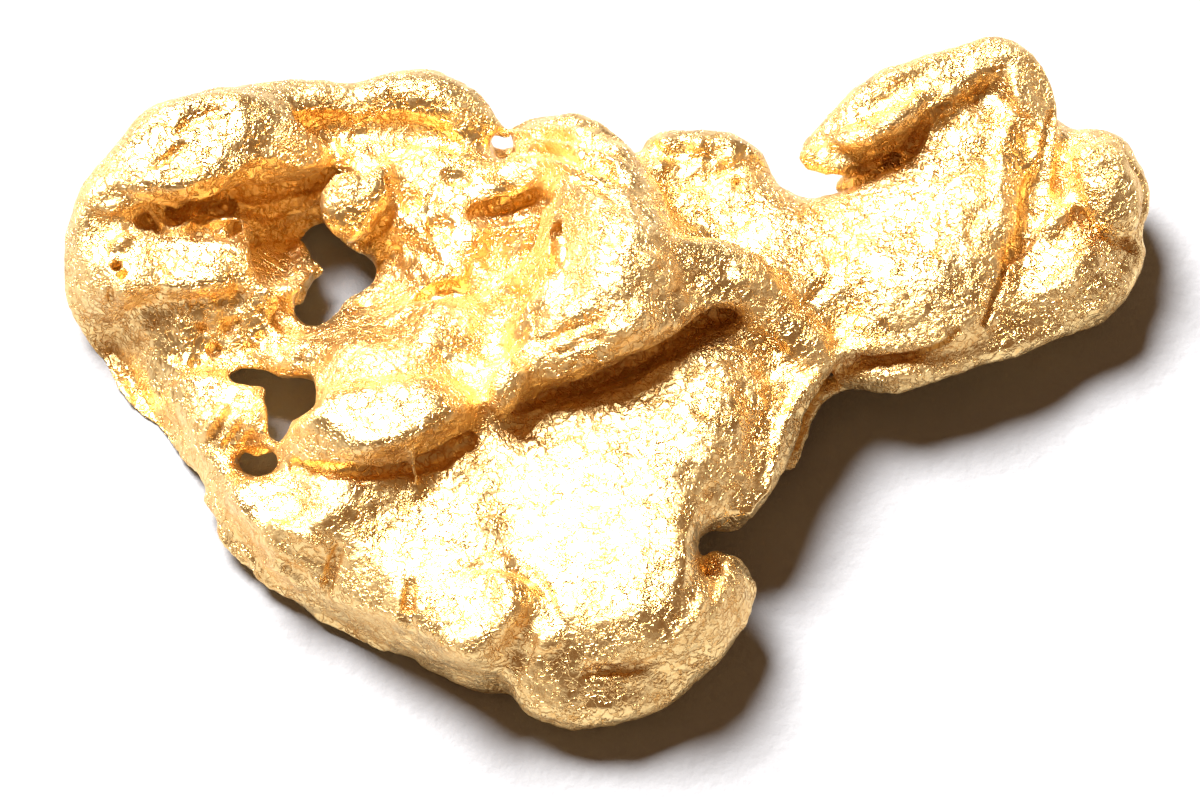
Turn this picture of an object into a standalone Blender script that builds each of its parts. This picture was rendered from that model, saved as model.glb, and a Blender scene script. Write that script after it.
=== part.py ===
"""A natural gold nugget, grown and hammered by water into one solid piece.

The body is a lumpy crust with folds, lumps and blunt blocks on it, and caves,
gaps, pits and holes cut into it. Its forms are laid out on a sketch plane that
is seen at SKETCH_TILT above the table: a place is how far right and how far up
it lies on the sketch, and how high it stands over the table. All sketch values
are millimetres, and the finished solid is in metres with Z up.
"""

import math

import bmesh
import bpy
import numpy as np
from mathutils import Matrix, Vector, noise

NAME = "gold_nugget"
MM = 0.001
SKETCH_TILT = math.radians(60)
COS_TILT = math.cos(SKETCH_TILT)
SIN_TILT = math.sin(SKETCH_TILT)

# Driving dimensions, in millimetres.
RIM_HALF_THICKNESS = 1.1
RIM_ROUNDING = 1.3
CRUST_STEP = 0.2
SURFACE_SOFTNESS = 1.2
SURFACE_SLACK = 0.08
BORE_LENGTH = 9.0
BORE_HEIGHT = 1.6
BORE_FLARE = 1.25
VOXEL = 0.13
CUTTER_VOXEL = 0.08
WRINKLES = ((2.4, 0.13, 3.0), (0.9, 0.07, 11.0))
FOOT_SNAP = 0.035
TRIANGLES = 9600

GOLD_COLOUR = (1.0, 0.7, 0.3, 1.0)
GOLD_ROUGHNESS = 0.3

# Rim of the crust, (right, up, height), once round from the left tip.
OUTLINE = [
    (-12.8, 3.6, 1.7), (-12.6, 4.3, 1.8), (-12.2, 4.95, 2), (-11.5, 5.8, 2.1), (-10.6, 6.95, 2.3),
    (-9.7, 7.35, 2.4), (-8.65, 7.55, 2.4), (-7.55, 7.75, 2.4), (-6.5, 7.6, 2.3), (-5.45, 7.8, 2.3),
    (-4.55, 7.95, 2.3), (-3.7, 7.85, 2.3), (-2.95, 7.35, 2.2), (-2.45, 6.75, 2.1), (-2.4, 6.25, 2),
    (-2.45, 5.85, 2), (-2.3, 6, 2), (-2.1, 6.6, 2.1), (-1.45, 6.85, 2.2), (-0.5, 6.8, 2.2),
    (0.3, 6.45, 2.1), (0.65, 6, 2), (0.8, 5.6, 1.9), (0.95, 6.05, 1.9), (1.45, 6.5, 2),
    (2.4, 6.5, 2.1), (3.4, 6.4, 2.1), (4, 5.85, 2), (4.4, 5.2, 1.9), (4.95, 4.85, 1.8),
    (5.45, 4.9, 1.8), (6, 5.3, 2), (7.2, 6.75, 2.2), (8.4, 7.95, 2.3), (9.6, 8.2, 2.3),
    (10.55, 7.35, 2), (11.5, 6.4, 1.9), (12.45, 6.15, 1.8), (13, 5.2, 1.6), (13.1, 4.25, 1.4),
    (12.8, 3.15, 1.2), (12.3, 2.4, 1.1), (11.05, 1.85, 1), (9.85, 1.5, 1), (8.4, 1.25, 1.4),
    (6.95, 1.2, 1.6), (5.9, 1.2, 1.6), (5.15, 0.8, 1.5), (4.7, 0.05, 1.4), (4.35, -0.9, 1.4),
    (4.2, -1.75, 1.3), (3.8, -2.5, 1.3), (3.25, -3.1, 1.2), (2.7, -3.05, 1.3), (2.4, -3.3, 1.3),
    (2.45, -4.05, 1.2), (2.55, -5, 1), (2.15, -6.1, 0.9), (0.95, -6.95, 0.8), (-0.25, -7.5, 0.75),
    (-1.25, -7.3, 0.75), (-1.85, -6.9, 0.75), (-2.65, -6.9, 0.8), (-3.7, -6.5, 0.8), (-4.8, -5.9, 0.8),
    (-6.25, -5.25, 0.8), (-7.55, -4.55, 0.8), (-8.5, -3.6, 0.9), (-9.05, -2.65, 1), (-9.4, -1.9, 1.1),
    (-10.3, -0.8, 1.1), (-11.25, 0.4, 1.2), (-12, 1.65, 1.4), (-12.6, 2.7, 1.5),
]

# Spot heights of the crust, (right, up, top, underside).
SPOTS = [
    (-11.75, 3.9, 3.1, 0.2), (-11.4, 1.7, 2.4, -0.2), (-9.85, 6.5, 3.5, 0.3), (-8.4, 6.5, 3.4, 0.3),
    (-6.7, 6.75, 3, 0.5), (-4.8, 7, 3, -0.1), (-3.35, 7, 3, 0.3), (-8.65, 4.55, 1.6, 0.8),
    (-7.2, 4.25, 1.5, 0.9), (-7.8, 3.5, 1.6, 0.9), (-7.45, 2.7, 1.8, 0.9), (-9.6, 3.4, 3, 0.6),
    (-6.25, 5.55, 2.4, 0.8), (-4.8, 5.55, 2.8, 0.6), (-3.1, 5.8, 3.1, 0.5), (-4.3, 3.9, 2.8, 0.8),
    (-5.3, 3.4, 2.3, 1.1), (-6.5, 1.95, 2.4, 1.2), (-8.4, 1.7, 2.6, 1.2), (-2.9, 2.45, 3, 0.6),
    (-2.15, 3.9, 2.9, 0.5), (-3.85, 1.7, 3.4, 0.7), (-5.05, 0.75, 3.7, 0.9), (-6.25, 0.5, 3.3, 1),
    (-7.2, 0.05, 2.6, 1.2), (-8.9, -0.2, 2.8, 0.5), (-10.1, 0.05, 2.6, 0.1), (-7.9, -1.9, 2.9, 0.5),
    (-7.45, -3.3, 2.8, -0.2), (-6, -3.3, 3, 0.1), (-4.8, -2.35, 3.1, 0.4), (-5.75, -4.75, 2.4, -0.1),
    (-3.1, -0.9, 3.3, 0.5), (-3.85, -3.8, 3.05, 0.2), (-2.9, -5.25, 2.8, 0), (-1.45, -5.25, 2.9, 0),
    (-0.95, -3.8, 3.15, 0.2), (0, -1.9, 3.3, 0.5), (-0.5, 0.05, 3.2, 0.5), (1.2, 0.05, 3.3, 0.5),
    (1.45, -2.35, 3.3, 0.5), (0.95, -4.3, 3.15, 0.2), (0, -5.65, 2.8, -0.2), (2, -3.8, 2.9, 0.4),
    (2.9, 0.5, 3.4, 0.4), (3.25, -1.15, 3.1, 0.4), (2.4, -1.9, 3.3, 0.4), (3.7, 0.05, 3.2, 0.5),
    (2.75, -2.5, 2.9, 0.4), (-1.45, 5.8, 3.4, 0.6), (0, 5.1, 4.2, 0.6), (0.1, 3.9, 4.9, 0.6),
    (0, 2.8, 5, 0.6), (-0.95, 2.25, 4.4, 0.6), (-0.95, 1.25, 3.6, 0.6), (2.15, 4.1, 3, 0.2),
    (1.9, 5.8, 2.9, 0.1), (3.35, 5.55, 2.8, 0.4), (3.85, 4.1, 3.1, 0.4), (2.4, 2.45, 3.2, 0.3),
    (4.55, 2.7, 3.2, 0.4), (5.5, 3.9, 3.1, 0.6), (5.3, 1.7, 3, 0.6), (6.7, 2.9, 3.3, 0.6),
    (6.7, 4.6, 3.2, 0.8), (7.9, 6.05, 3.2, 0.9), (8.15, 4.35, 3.4, 0.5), (8.4, 2.45, 3.1, 0.4),
    (9.35, 6.75, 3.4, 0.8), (9.6, 5.1, 3.4, 0.5), (9.6, 3.15, 2.9, 0.1), (10.8, 4.85, 2, 0.2),
    (11.75, 5.3, 2.4, 0.4), (12, 3.9, 2.2, 0.2), (11.05, 2.9, 2.1, -0.2), (10.55, 6.3, 2.6, 0.5),
    (7.2, 1.7, 2.8, 0.8),
]

# Folds and rolls that stand on the crust, each a run of (right, up, height, radius).
FOLDS = {
    "left_shoulder": [
        (-12.05, 3.35, 1.7, 0.75), (-11.85, 4.2, 2.1, 0.85), (-11.15, 5.2, 2.5, 1),
        (-10.25, 6.05, 2.7, 1.1), (-9.3, 6.45, 2.9, 1.1), (-8.35, 6.45, 3, 1), (-7.5, 6.1, 2.9, 0.8),
        (-6.9, 5.8, 2.8, 0.5),
    ],
    "shoulder_inner": [
        (-10.55, 5.3, 2.9, 0.6), (-9.6, 5.6, 3.1, 0.75), (-8.65, 5.8, 3.1, 0.7),
        (-7.55, 5.85, 2.9, 0.6),
    ],
    "left_rim": [
        (-12.15, 3.2, 1.7, 0.75), (-11.95, 2.2, 1.6, 0.65), (-11.45, 1.35, 1.5, 0.6),
        (-10.8, 0.4, 1.5, 0.6),
    ],
    "top_rim": [
        (-8.85, 6.95, 2.8, 0.55), (-7.8, 7.15, 2.7, 0.6), (-6.7, 7.15, 2.7, 0.6),
        (-5.95, 7.2, 2.6, 0.5), (-5.1, 7.3, 2.7, 0.6), (-4.15, 7.3, 2.7, 0.7), (-3.3, 6.9, 2.6, 0.75),
        (-2.75, 6.45, 2.4, 0.5),
    ],
    "ridge": [
        (-2.1, 5.5, 3, 0.5), (-1.25, 5.85, 3.2, 0.7), (-0.35, 5.7, 3.6, 1), (0.3, 4.85, 4, 1.2),
        (0.6, 3.75, 4.4, 1.35), (0.6, 2.85, 4.5, 1.3), (0.05, 2.1, 4.4, 1.15), (-0.8, 1.5, 4.2, 0.95),
        (-1.65, 0.9, 3.9, 0.65), (-2.25, 0.25, 3.6, 0.5),
    ],
    "ridge_slope": [
        (-0.65, 4.7, 3.8, 0.75), (-0.25, 3.9, 4.3, 1), (-0.25, 2.95, 4.5, 1), (-0.9, 2.3, 4.3, 0.8),
        (-1.75, 1.6, 3.9, 0.55),
    ],
    "ridge_arm": [
        (0.95, 3.05, 4.3, 1), (1.9, 3.2, 4.1, 0.85), (2.85, 3.1, 3.9, 0.75), (3.65, 2.65, 3.6, 0.7),
        (4.2, 1.95, 3.1, 0.7), (4.8, 1.35, 2.6, 0.7),
    ],
    "lip": [
        (3.4, 2.5, 3.8, 0.28), (2.4, 2.4, 3.95, 0.3), (1.45, 1.85, 4, 0.4), (0.5, 1.35, 3.9, 0.4),
        (-0.6, 0.8, 3.7, 0.4), (-1.55, 0.45, 3.4, 0.4), (-2.2, 0, 3.2, 0.45),
    ],
    "bean": [
        (-6.95, -0.7, 3.3, 0.8), (-6.1, -0.55, 3.55, 0.9), (-5.05, -0.45, 3.65, 0.95),
        (-4.15, -0.25, 3.6, 0.9), (-3.6, -0.1, 3.5, 0.7),
    ],
    "bean_strut": [
        (-4.5, -1.15, 3.2, 0.14), (-4.45, -1.85, 2.9, 0.16),
    ],
    "crest": [
        (5.4, 6.05, 2.9, 0.6), (6, 6.45, 3.1, 0.8), (6.75, 6.9, 3.3, 0.9), (7.5, 7.3, 3.4, 0.9),
        (8.15, 7.7, 3.4, 0.75), (8.85, 8, 3.4, 0.7), (9.55, 7.95, 3.3, 0.8), (10.15, 7.55, 3.1, 0.75),
        (10.4, 6.8, 2.9, 0.7), (10.35, 5.8, 2.8, 0.6), (10.05, 4.7, 2.6, 0.6), (9.6, 3.65, 2.4, 0.6),
        (9.05, 2.7, 2.2, 0.55),
    ],
    "plate_rim": [
        (9.05, 2.7, 2.2, 0.55), (8.5, 2.15, 2.2, 0.6), (7.65, 1.75, 2.1, 0.6), (6.6, 1.6, 2, 0.55),
        (5.9, 1.5, 1.9, 0.5), (5.15, 1.1, 2, 0.55), (4.55, 0.25, 2.1, 0.6), (4.15, -0.7, 2.1, 0.6),
        (3.85, -1.6, 2, 0.55), (3.35, -2.4, 1.9, 0.5),
    ],
    "right_lobe": [
        (11.35, 5.85, 2, 0.8), (11.9, 5.65, 2.1, 1.05), (12.2, 4.9, 2, 1.05), (12.15, 4.2, 1.8, 0.85),
    ],
    "right_lip": [
        (6.65, 0.45, 0.75, 0.35), (7.3, 0.5, 0.9, 0.4), (8.15, 0.85, 1, 0.4), (9.1, 1.25, 1.1, 0.5),
        (10.1, 1.7, 1.2, 0.6), (11.1, 2.25, 1.3, 0.75), (11.9, 2.75, 1.4, 0.85),
        (12.45, 3.5, 1.5, 0.75),
    ],
    "right_inner": [
        (10.1, 2.3, 1.5, 0.6), (10.75, 3.05, 1.8, 0.75), (11.45, 3.5, 1.9, 0.8),
    ],
    "neck_lip": [
        (7.3, 0.5, 0.9, 0.3), (6.25, 0.55, 0.8, 0.3), (5.5, 0.4, 0.8, 0.28), (4.95, -0.1, 0.8, 0.28),
        (4.7, -0.9, 0.8, 0.28), (4.45, -1.5, 0.9, 0.28),
    ],
    "toe": [
        (-1.15, -6.4, 1.35, 1.15), (-0.2, -6.5, 1.45, 1.3), (1, -6.15, 1.45, 1.25),
        (2.05, -5.45, 1.45, 1.1), (2.75, -4.85, 1.45, 0.85), (3.15, -4.35, 1.45, 0.6),
        (3.05, -3.9, 1.5, 0.4),
    ],
    "bridge": [
        (-9.95, 1.75, 3.1, 0.4), (-9.25, 1.7, 3.3, 0.5), (-8.5, 1.6, 3.2, 0.45), (-7.8, 1.35, 3, 0.4),
        (-7.1, 1.1, 2.8, 0.4), (-6.1, 0.95, 2.8, 0.5),
    ],
    "hook": [
        (-6.9, 3.35, 2, 0.22), (-7.15, 3.05, 2.4, 0.22), (-6.95, 2.7, 2.4, 0.2),
        (-7.3, 2.45, 2.3, 0.24), (-7.65, 2.65, 2.4, 0.28),
    ],
    "upper_lobe": [
        (-1.75, 6.15, 2.6, 0.55), (-0.95, 6.3, 2.8, 0.7), (-0.1, 6.2, 2.8, 0.65),
        (0.35, 5.9, 2.6, 0.45),
    ],
    "upper_roll": [
        (1.5, 6, 2.5, 0.55), (2.4, 6, 2.6, 0.6), (3.3, 5.85, 2.6, 0.6), (3.75, 5.7, 2.4, 0.45),
    ],
}

# Round lumps: centre (right, up, height), radii, turn about Z and tilt about X in degrees.
LUMPS = {
    "front_bulge": ((-8.35, -0.65, 2.5), (0.55, 0.8, 0.9), -20, 0),
    "low_side": ((-6.75, -3.2, 2.3), (0.75, 0.9, 0.85), 0, 0),
    "boss": ((-2.8, -5.05, 2), (1.5, 1.45, 1.15), 0, 0),
    "boss_top": ((-2.65, -4.55, 2.6), (0.9, 0.75, 0.7), 0, 0),
    "knob": ((-5.95, 4.7, 2.9), (0.72, 0.78, 0.62), 30, 0),
    "knob_neck": ((-5.35, 5.1, 3), (0.35, 0.8, 0.42), -20, 0),
    "right_boulder": ((11.4, 2.85, 1.6), (1.4, 1.05, 1.05), 25, 0),
    "right_pebble": ((11.05, 4.45, 2.5), (0.3, 0.65, 0.4), -25, 0),
    "rough_a": ((-9, 1.7, 3.4), (0.5, 0.45, 0.45), 0, 0),
    "rough_b": ((-8.3, 2, 3.2), (0.4, 0.4, 0.4), 0, 0),
    "rough_c": ((-7.95, 2.45, 3), (0.4, 0.45, 0.4), 0, 0),
    "rough_e": ((-9.5, 1.35, 2.6), (0.6, 0.5, 0.6), 0, 0),
    "rough_f": ((-8.85, 4.05, 2.7), (0.7, 0.45, 0.5), 0, 0),
    "rough_g": ((-9, 0.95, 2.3), (0.6, 0.4, 0.6), 0, 0),
    "inner_bump": ((-2.2, 3.75, 2.7), (0.9, 0.8, 0.5), 0, 0),
    "inner_sill": ((-3.85, 1.35, 2.8), (1.7, 1.2, 0.9), 15, 0),
    "centre_pad": ((-5.15, 0.55, 2.9), (1.9, 1.3, 0.95), 10, 0),
}

# Blunt blocks: centre, half sizes, turn about Z, tilt about X and roll about Y in degrees, edge rounding.
BLOCKS = {
    "left_boulder": ((-10.3, 3.1, 3), (1.4, 0.85, 0.72), 0, 0, 4, 0.6),
    "left_boulder_end": ((-8.95, 3, 2.8), (0.75, 0.85, 0.75), 0, 0, 10, 0.6),
    "left_base": ((-10.45, 2.45, 1.7), (1.2, 1.1, 1.1), 0, 0, 0, 0.6),
    "front_boulder": ((-9.25, -0.55, 2.2), (1.2, 1, 1.15), -32, 0, -6, 0.75),
    "low_boulder": ((-7.6, -2.8, 1.9), (1.25, 1.3, 1.2), -38, 0, -8, 0.75),
    "front_ledge": ((-5.55, -4.6, 1.5), (1.6, 0.95, 0.95), -27, 0, 0, 0.6),
    "diamond": ((-1.25, -5.55, 2.5), (0.45, 0.4, 0.4), 30, 0, 0, 0.2),
}

# Caves, gaps and creases cut into the body, each a run of (right, up, height, radius).
CREVICES = {
    "shoulder_cave": [
        (-10.8, 4.45, 2.4, 0.3), (-9.95, 4.5, 2.3, 0.45), (-9, 4.65, 2.1, 0.6), (-8.05, 4.7, 2, 0.65),
        (-7.15, 4.95, 2.1, 0.5), (-6.45, 5.4, 2.3, 0.3),
    ],
    "lip_cave": [
        (3.3, 2.25, 3.35, 0.26), (2.5, 1.9, 3.35, 0.4), (1.55, 1.4, 3.35, 0.5), (0.6, 0.85, 3.3, 0.5),
        (-0.35, 0.4, 3.2, 0.4), (-1.2, 0.05, 3.1, 0.3),
    ],
    "bean_gap": [
        (-6.1, -1.55, 2.85, 0.2), (-5.3, -1.6, 2.9, 0.28), (-4.6, -1.5, 2.9, 0.25),
    ],
    "bean_gap_end": [
        (-4.15, -1.4, 2.9, 0.25), (-3.7, -1.3, 2.9, 0.3), (-3.3, -1.05, 2.9, 0.3),
    ],
    "boulder_cave": [
        (-11.4, 1.85, 2.3, 0.35), (-10.7, 1.85, 2.2, 0.5), (-10.05, 1.75, 2.3, 0.4),
    ],
    "crest_cave": [
        (5.45, 5.15, 2.3, 0.25), (6.25, 5.4, 2.5, 0.3), (7.05, 5.75, 2.6, 0.3),
        (7.65, 6.35, 2.8, 0.28), (8.1, 7.05, 2.9, 0.2), (8.75, 7.2, 2.9, 0.15),
    ],
    "right_crevice": [
        (10.85, 6.95, 2.6, 0.15), (10.85, 5.8, 2.2, 0.22), (10.55, 4.55, 1.9, 0.27),
        (10.15, 3.6, 1.7, 0.27), (9.6, 2.55, 1.5, 0.24), (9.15, 1.75, 1.4, 0.15),
    ],
    "lobe_crevice": [
        (11.25, 4.65, 2.5, 0.12), (11.75, 4.15, 2.4, 0.17), (12.35, 3.9, 2.2, 0.15),
        (12.85, 3.65, 1.9, 0.1),
    ],
    "plate_gap": [
        (8.85, 1.6, 1.4, 0.18), (7.9, 1.1, 1.2, 0.2), (6.95, 0.9, 1.1, 0.2), (6, 0.9, 1.1, 0.25),
        (5.35, 0.5, 1.1, 0.28), (4.8, -0.2, 1.1, 0.25), (4.5, -1.15, 1.1, 0.2),
    ],
    "toe_crevice": [
        (-0.35, -6.4, 1.8, 0.15), (0.6, -6.35, 1.8, 0.18), (1.4, -6.05, 1.8, 0.18),
    ],
    "toe_crevice_up": [
        (2.7, -4.75, 1.8, 0.15), (2.75, -4.3, 1.8, 0.2), (2.7, -3.8, 1.8, 0.25),
        (2.6, -3.45, 1.8, 0.3),
    ],
    "boss_crease": [
        (-3.7, -4.1, 2.8, 0.1), (-2.75, -3.8, 3, 0.12), (-1.9, -4.1, 2.9, 0.16),
        (-1.3, -4.7, 2.7, 0.2), (-1.15, -5, 2.6, 0.12),
    ],
    "low_crease": [
        (-5.85, -3.05, 2.8, 0.12), (-6.05, -3.75, 2.4, 0.22), (-6.3, -4.35, 2, 0.22),
        (-6.65, -4.75, 1.5, 0.12),
    ],
    "ledge_crease": [
        (-4.35, -4.35, 2.6, 0.2), (-4.3, -5, 2.2, 0.22), (-4.6, -5.7, 1.8, 0.15),
    ],
    "front_crack": [
        (-2.9, -6.9, 0.9, 0.12), (-2.4, -6.75, 1.3, 0.18), (-1.95, -6.4, 1.7, 0.15),
    ],
    "foot_notch": [
        (-2, -7.3, 0.5, 0.12), (-1.9, -7.15, 0.9, 0.12),
    ],
    "inner_trench": [
        (-1.25, 5.1, 3.1, 0.2), (-0.8, 4.35, 3.1, 0.25), (-0.85, 3.65, 3, 0.28),
        (-1.3, 3.05, 2.9, 0.25), (-1.9, 2.6, 2.9, 0.22),
    ],
    "inner_groove": [
        (-5.5, 1.85, 2.6, 0.15), (-4.7, 2, 2.8, 0.2), (-3.85, 2.65, 2.8, 0.28), (-3.1, 2.9, 2.9, 0.25),
    ],
    "yellow_trough": [
        (-6.35, 6.3, 2.8, 0.25), (-5.5, 6.3, 2.9, 0.3), (-4.55, 6.4, 2.9, 0.25),
        (-3.6, 6.5, 2.8, 0.22),
    ],
    "top_trough": [
        (-6.7, 6.8, 3.1, 0.2), (-6.35, 6.05, 2.7, 0.35), (-6.25, 5.35, 2.4, 0.3),
    ],
    "ridge_slot": [
        (-1.3, 1.5, 4.4, 0.1), (-0.6, 1.8, 4.9, 0.13), (0.1, 2.15, 5.2, 0.1),
    ],
}

# Round pits and hollows, laid out as LUMPS is.
PITS = {
    "inner_pit": ((-2.1, 4.6, 3), (1, 0.38, 0.6), 18, 0),
    "left_pit": ((-11.55, 3.15, 3.3), (0.28, 0.28, 0.5), 0, 0),
    "deep_pit": ((-9.05, 1.7, 4), (0.22, 0.3, 0.5), 0, 0),
    "cave_left": ((-10.9, 4.3, 2.9), (0.25, 0.4, 0.5), 0, 0),
    "under_hollow": ((-6.5, 2.7, 0.2), (2.6, 2.6, 1.2), 0, 0),
    "under_hollow_b": ((-8.05, -0.55, 0), (1.3, 1.2, 1.3), 0, 0),
}

# Holes right through, bored along the line of sight: centre (right, up), half widths, turn in degrees.
HOLES = {
    "window_a": ((-6.15, 3.15), (0.7, 0.58), 0),
    "window_b": ((-6.75, 2.4), (0.6, 0.48), 30),
    "window_c": ((-6.7, 3.8), (0.31, 0.43), 0),
    "slot_a": ((-8.35, 0.6), (0.67, 0.22), 0),
    "slot_b": ((-7.3, 0.05), (0.65, 0.48), 10),
    "slot_c": ((-7.65, -0.55), (0.29, 0.43), 0),
    "slot_d": ((-8.15, -1.45), (0.53, 0.31), 0),
    "pin_a": ((-10.15, 1.15), (0.24, 0.17), 0),
    "pin_b": ((3.35, 5.15), (0.12, 0.24), 0),
    "notch": ((-2.35, 6.15), (0.22, 0.34), 0),
}


def at(right, up, height):
    """The point in space that stands at a place on the sketch plane."""
    return Vector((right, (up - height * COS_TILT) / SIN_TILT, height))


def surface(samples):
    """A smooth height surface through (x, y, height) samples."""
    table = np.array(samples)
    places = table[:, :2]
    count = len(table)

    def kernel(a, b):
        apart = ((a[:, None, :] - b[None, :, :]) ** 2).sum(2)
        return -np.sqrt(apart + SURFACE_SOFTNESS ** 2)

    system = np.ones((count + 1, count + 1))
    system[:count, :count] = kernel(places, places) + np.eye(count) * SURFACE_SLACK
    system[count, count] = 0
    weights = np.linalg.solve(system, np.append(table[:, 2], 0))
    return lambda points: kernel(points, places) @ weights[:count] + weights[count]


def smooth_path(points, steps, closed=False):
    """A Catmull-Rom curve through the points."""
    p = np.array(points, float)
    count = len(p)
    last = count - 1
    path = []
    for i in range(count if closed else last):
        a = p[i - 1] if closed or i else p[0]
        b = p[i]
        c = p[(i + 1) % count]
        d = p[(i + 2) % count] if closed else p[min(i + 2, last)]
        for t in np.arange(steps) / steps:
            path.append(b + 0.5 * t * (c - a + t * (2 * a - 5 * b + 4 * c - d + t * (3 * (b - c) + d - a))))
    if not closed:
        path.append(p[-1])
    return np.array(path)


def depth_inside(points, loop):
    """Distance of each point in from the loop, negative outside it."""
    nearest = np.full(len(points), np.inf)
    inside = np.zeros(len(points), bool)
    for a, b in zip(loop, np.roll(loop, -1, axis=0)):
        run = b - a
        t = np.clip((points - a) @ run / (run @ run), 0, 1)
        nearest = np.minimum(nearest, np.linalg.norm(points - a - t[:, None] * run, axis=1))
        if a[1] != b[1]:
            crossing = (a[1] > points[:, 1]) != (b[1] > points[:, 1])
            x = a[0] + (points[:, 1] - a[1]) * run[0] / run[1]
            inside ^= crossing & (points[:, 0] < x)
    return np.where(inside, nearest, -nearest)


def crust():
    """The lumpy slab: a grid trimmed to the outline, extruded, and shaped by the spot heights."""
    rim = [tuple(at(*place)) for place in OUTLINE]
    loop = smooth_path(rim, 4, closed=True)[:, :2]
    tops = [(*at(right, up, top)[:2], top) for right, up, top, _ in SPOTS]
    undersides = [(*at(right, up, (top + low) / 2)[:2], low) for right, up, top, low in SPOTS]
    tops += [(x, y, z + RIM_HALF_THICKNESS) for x, y, z in rim]
    undersides += [(x, y, z - RIM_HALF_THICKNESS) for x, y, z in rim]
    top, underside = surface(tops), surface(undersides)

    low, high = loop.min(0), loop.max(0)
    counts = np.ceil((high - low) / CRUST_STEP).astype(int)
    spread = Matrix.Translation((*(low + high) / 2, 0)) @ Matrix.Diagonal((*(high - low), 1, 1))
    bm = bmesh.new()
    bmesh.ops.create_grid(bm, x_segments=counts[0], y_segments=counts[1], size=0.5, matrix=spread)
    depth = depth_inside(np.array([v.co[:2] for v in bm.verts]), loop)
    outside = [v for v, d in zip(bm.verts, depth) if d < 0]
    bmesh.ops.delete(bm, geom=outside, context="VERTS")

    plan = np.array([v.co[:2] for v in bm.verts])
    depth = np.clip(depth_inside(plan, loop) / RIM_ROUNDING, 0.02, 1)
    swell = np.sqrt(1 - (1 - depth) ** 2)
    upper, lower = top(plan), underside(plan)
    middle = (upper + lower) / 2
    half = (upper - lower) / 2 * swell
    for v, z in zip(bm.verts, middle - half):
        v.co.z = z
    made = bmesh.ops.extrude_face_region(bm, geom=list(bm.faces))
    heights = {(x, y): z for (x, y), z in zip(map(tuple, plan), middle + half)}
    for item in made["geom"]:
        if isinstance(item, bmesh.types.BMVert):
            item.co.z = heights[item.co[:2]]
    bmesh.ops.recalc_face_normals(bm, faces=list(bm.faces))
    return bm


def add_lump(bm, place, radii, turn, tilt):
    where = Matrix.Translation(at(*place)) @ Matrix.Rotation(math.radians(turn), 4, "Z")
    where = where @ Matrix.Rotation(math.radians(tilt), 4, "X") @ Matrix.Diagonal((*radii, 1))
    bmesh.ops.create_icosphere(bm, subdivisions=3, radius=1, matrix=where)


def add_block(bm, place, half_sizes, turn, tilt, roll, rounding):
    where = Matrix.Translation(at(*place)) @ Matrix.Rotation(math.radians(turn), 4, "Z")
    where = where @ Matrix.Rotation(math.radians(tilt), 4, "X") @ Matrix.Rotation(math.radians(roll), 4, "Y")
    made = bmesh.ops.create_cube(bm, size=2, matrix=where @ Matrix.Diagonal((*half_sizes, 1)))
    edges = {edge for v in made["verts"] for edge in v.link_edges}
    bmesh.ops.bevel(bm, geom=list(edges), offset=rounding, segments=3, profile=0.5, affect="EDGES")


def add_roll(bm, stations):
    """A bevelled curve of changing thickness with a ball on each end."""
    path = smooth_path([(*at(*place), radius) for *place, radius in stations], 5)
    curve = bpy.data.curves.new("roll", "CURVE")
    curve.dimensions = "3D"
    curve.bevel_depth = 1
    curve.bevel_resolution = 5
    curve.use_fill_caps = True
    line = curve.splines.new("POLY")
    line.points.add(len(path) - 1)
    for point, (x, y, z, radius) in zip(line.points, path):
        point.co = (x, y, z, 1)
        point.radius = radius
    roll = bpy.data.objects.new("roll", curve)
    bpy.context.scene.collection.objects.link(roll)
    bm.from_mesh(evaluated_mesh(roll))
    bpy.data.objects.remove(roll)
    for x, y, z, radius in (path[0], path[-1]):
        where = Matrix.Translation((x, y, z))
        bmesh.ops.create_icosphere(bm, subdivisions=2, radius=radius, matrix=where)


def add_bore(bm, place, half_widths, turn):
    """A tapered oval bore along the sketch's line of sight, wider below."""
    sight = Vector((0, -COS_TILT, SIN_TILT))
    across = Vector((1, 0, 0))
    frame = Matrix((across, sight.cross(across), sight)).transposed().to_4x4()
    where = Matrix.Translation(at(*place, BORE_HEIGHT)) @ frame @ Matrix.Rotation(math.radians(turn), 4, "Z")
    where = where @ Matrix.Diagonal((*half_widths, 1, 1))
    bmesh.ops.create_cone(bm, cap_ends=True, segments=24, radius1=BORE_FLARE, radius2=1,
                          depth=BORE_LENGTH, matrix=where)


def evaluated_mesh(obj):
    bpy.context.view_layer.update()
    return bpy.data.meshes.new_from_object(obj.evaluated_get(bpy.context.evaluated_depsgraph_get()))


def new_object(name, bm, collection):
    mesh = bpy.data.meshes.new(name)
    bm.to_mesh(mesh)
    bm.free()
    obj = bpy.data.objects.new(name, mesh)
    collection.objects.link(obj)
    return obj


def add_remesh(obj, voxel):
    modifier = obj.modifiers.new("Remesh", "REMESH")
    modifier.mode = "VOXEL"
    modifier.voxel_size = voxel


def apply_modifiers(obj):
    obj.data = evaluated_mesh(obj)
    obj.modifiers.clear()


def rough_body(collection):
    bm = crust()
    for stations in FOLDS.values():
        add_roll(bm, stations)
    for lump in LUMPS.values():
        add_lump(bm, *lump)
    for block in BLOCKS.values():
        add_block(bm, *block)
    body = new_object(NAME, bm, collection)
    add_remesh(body, VOXEL)
    return body


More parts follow.
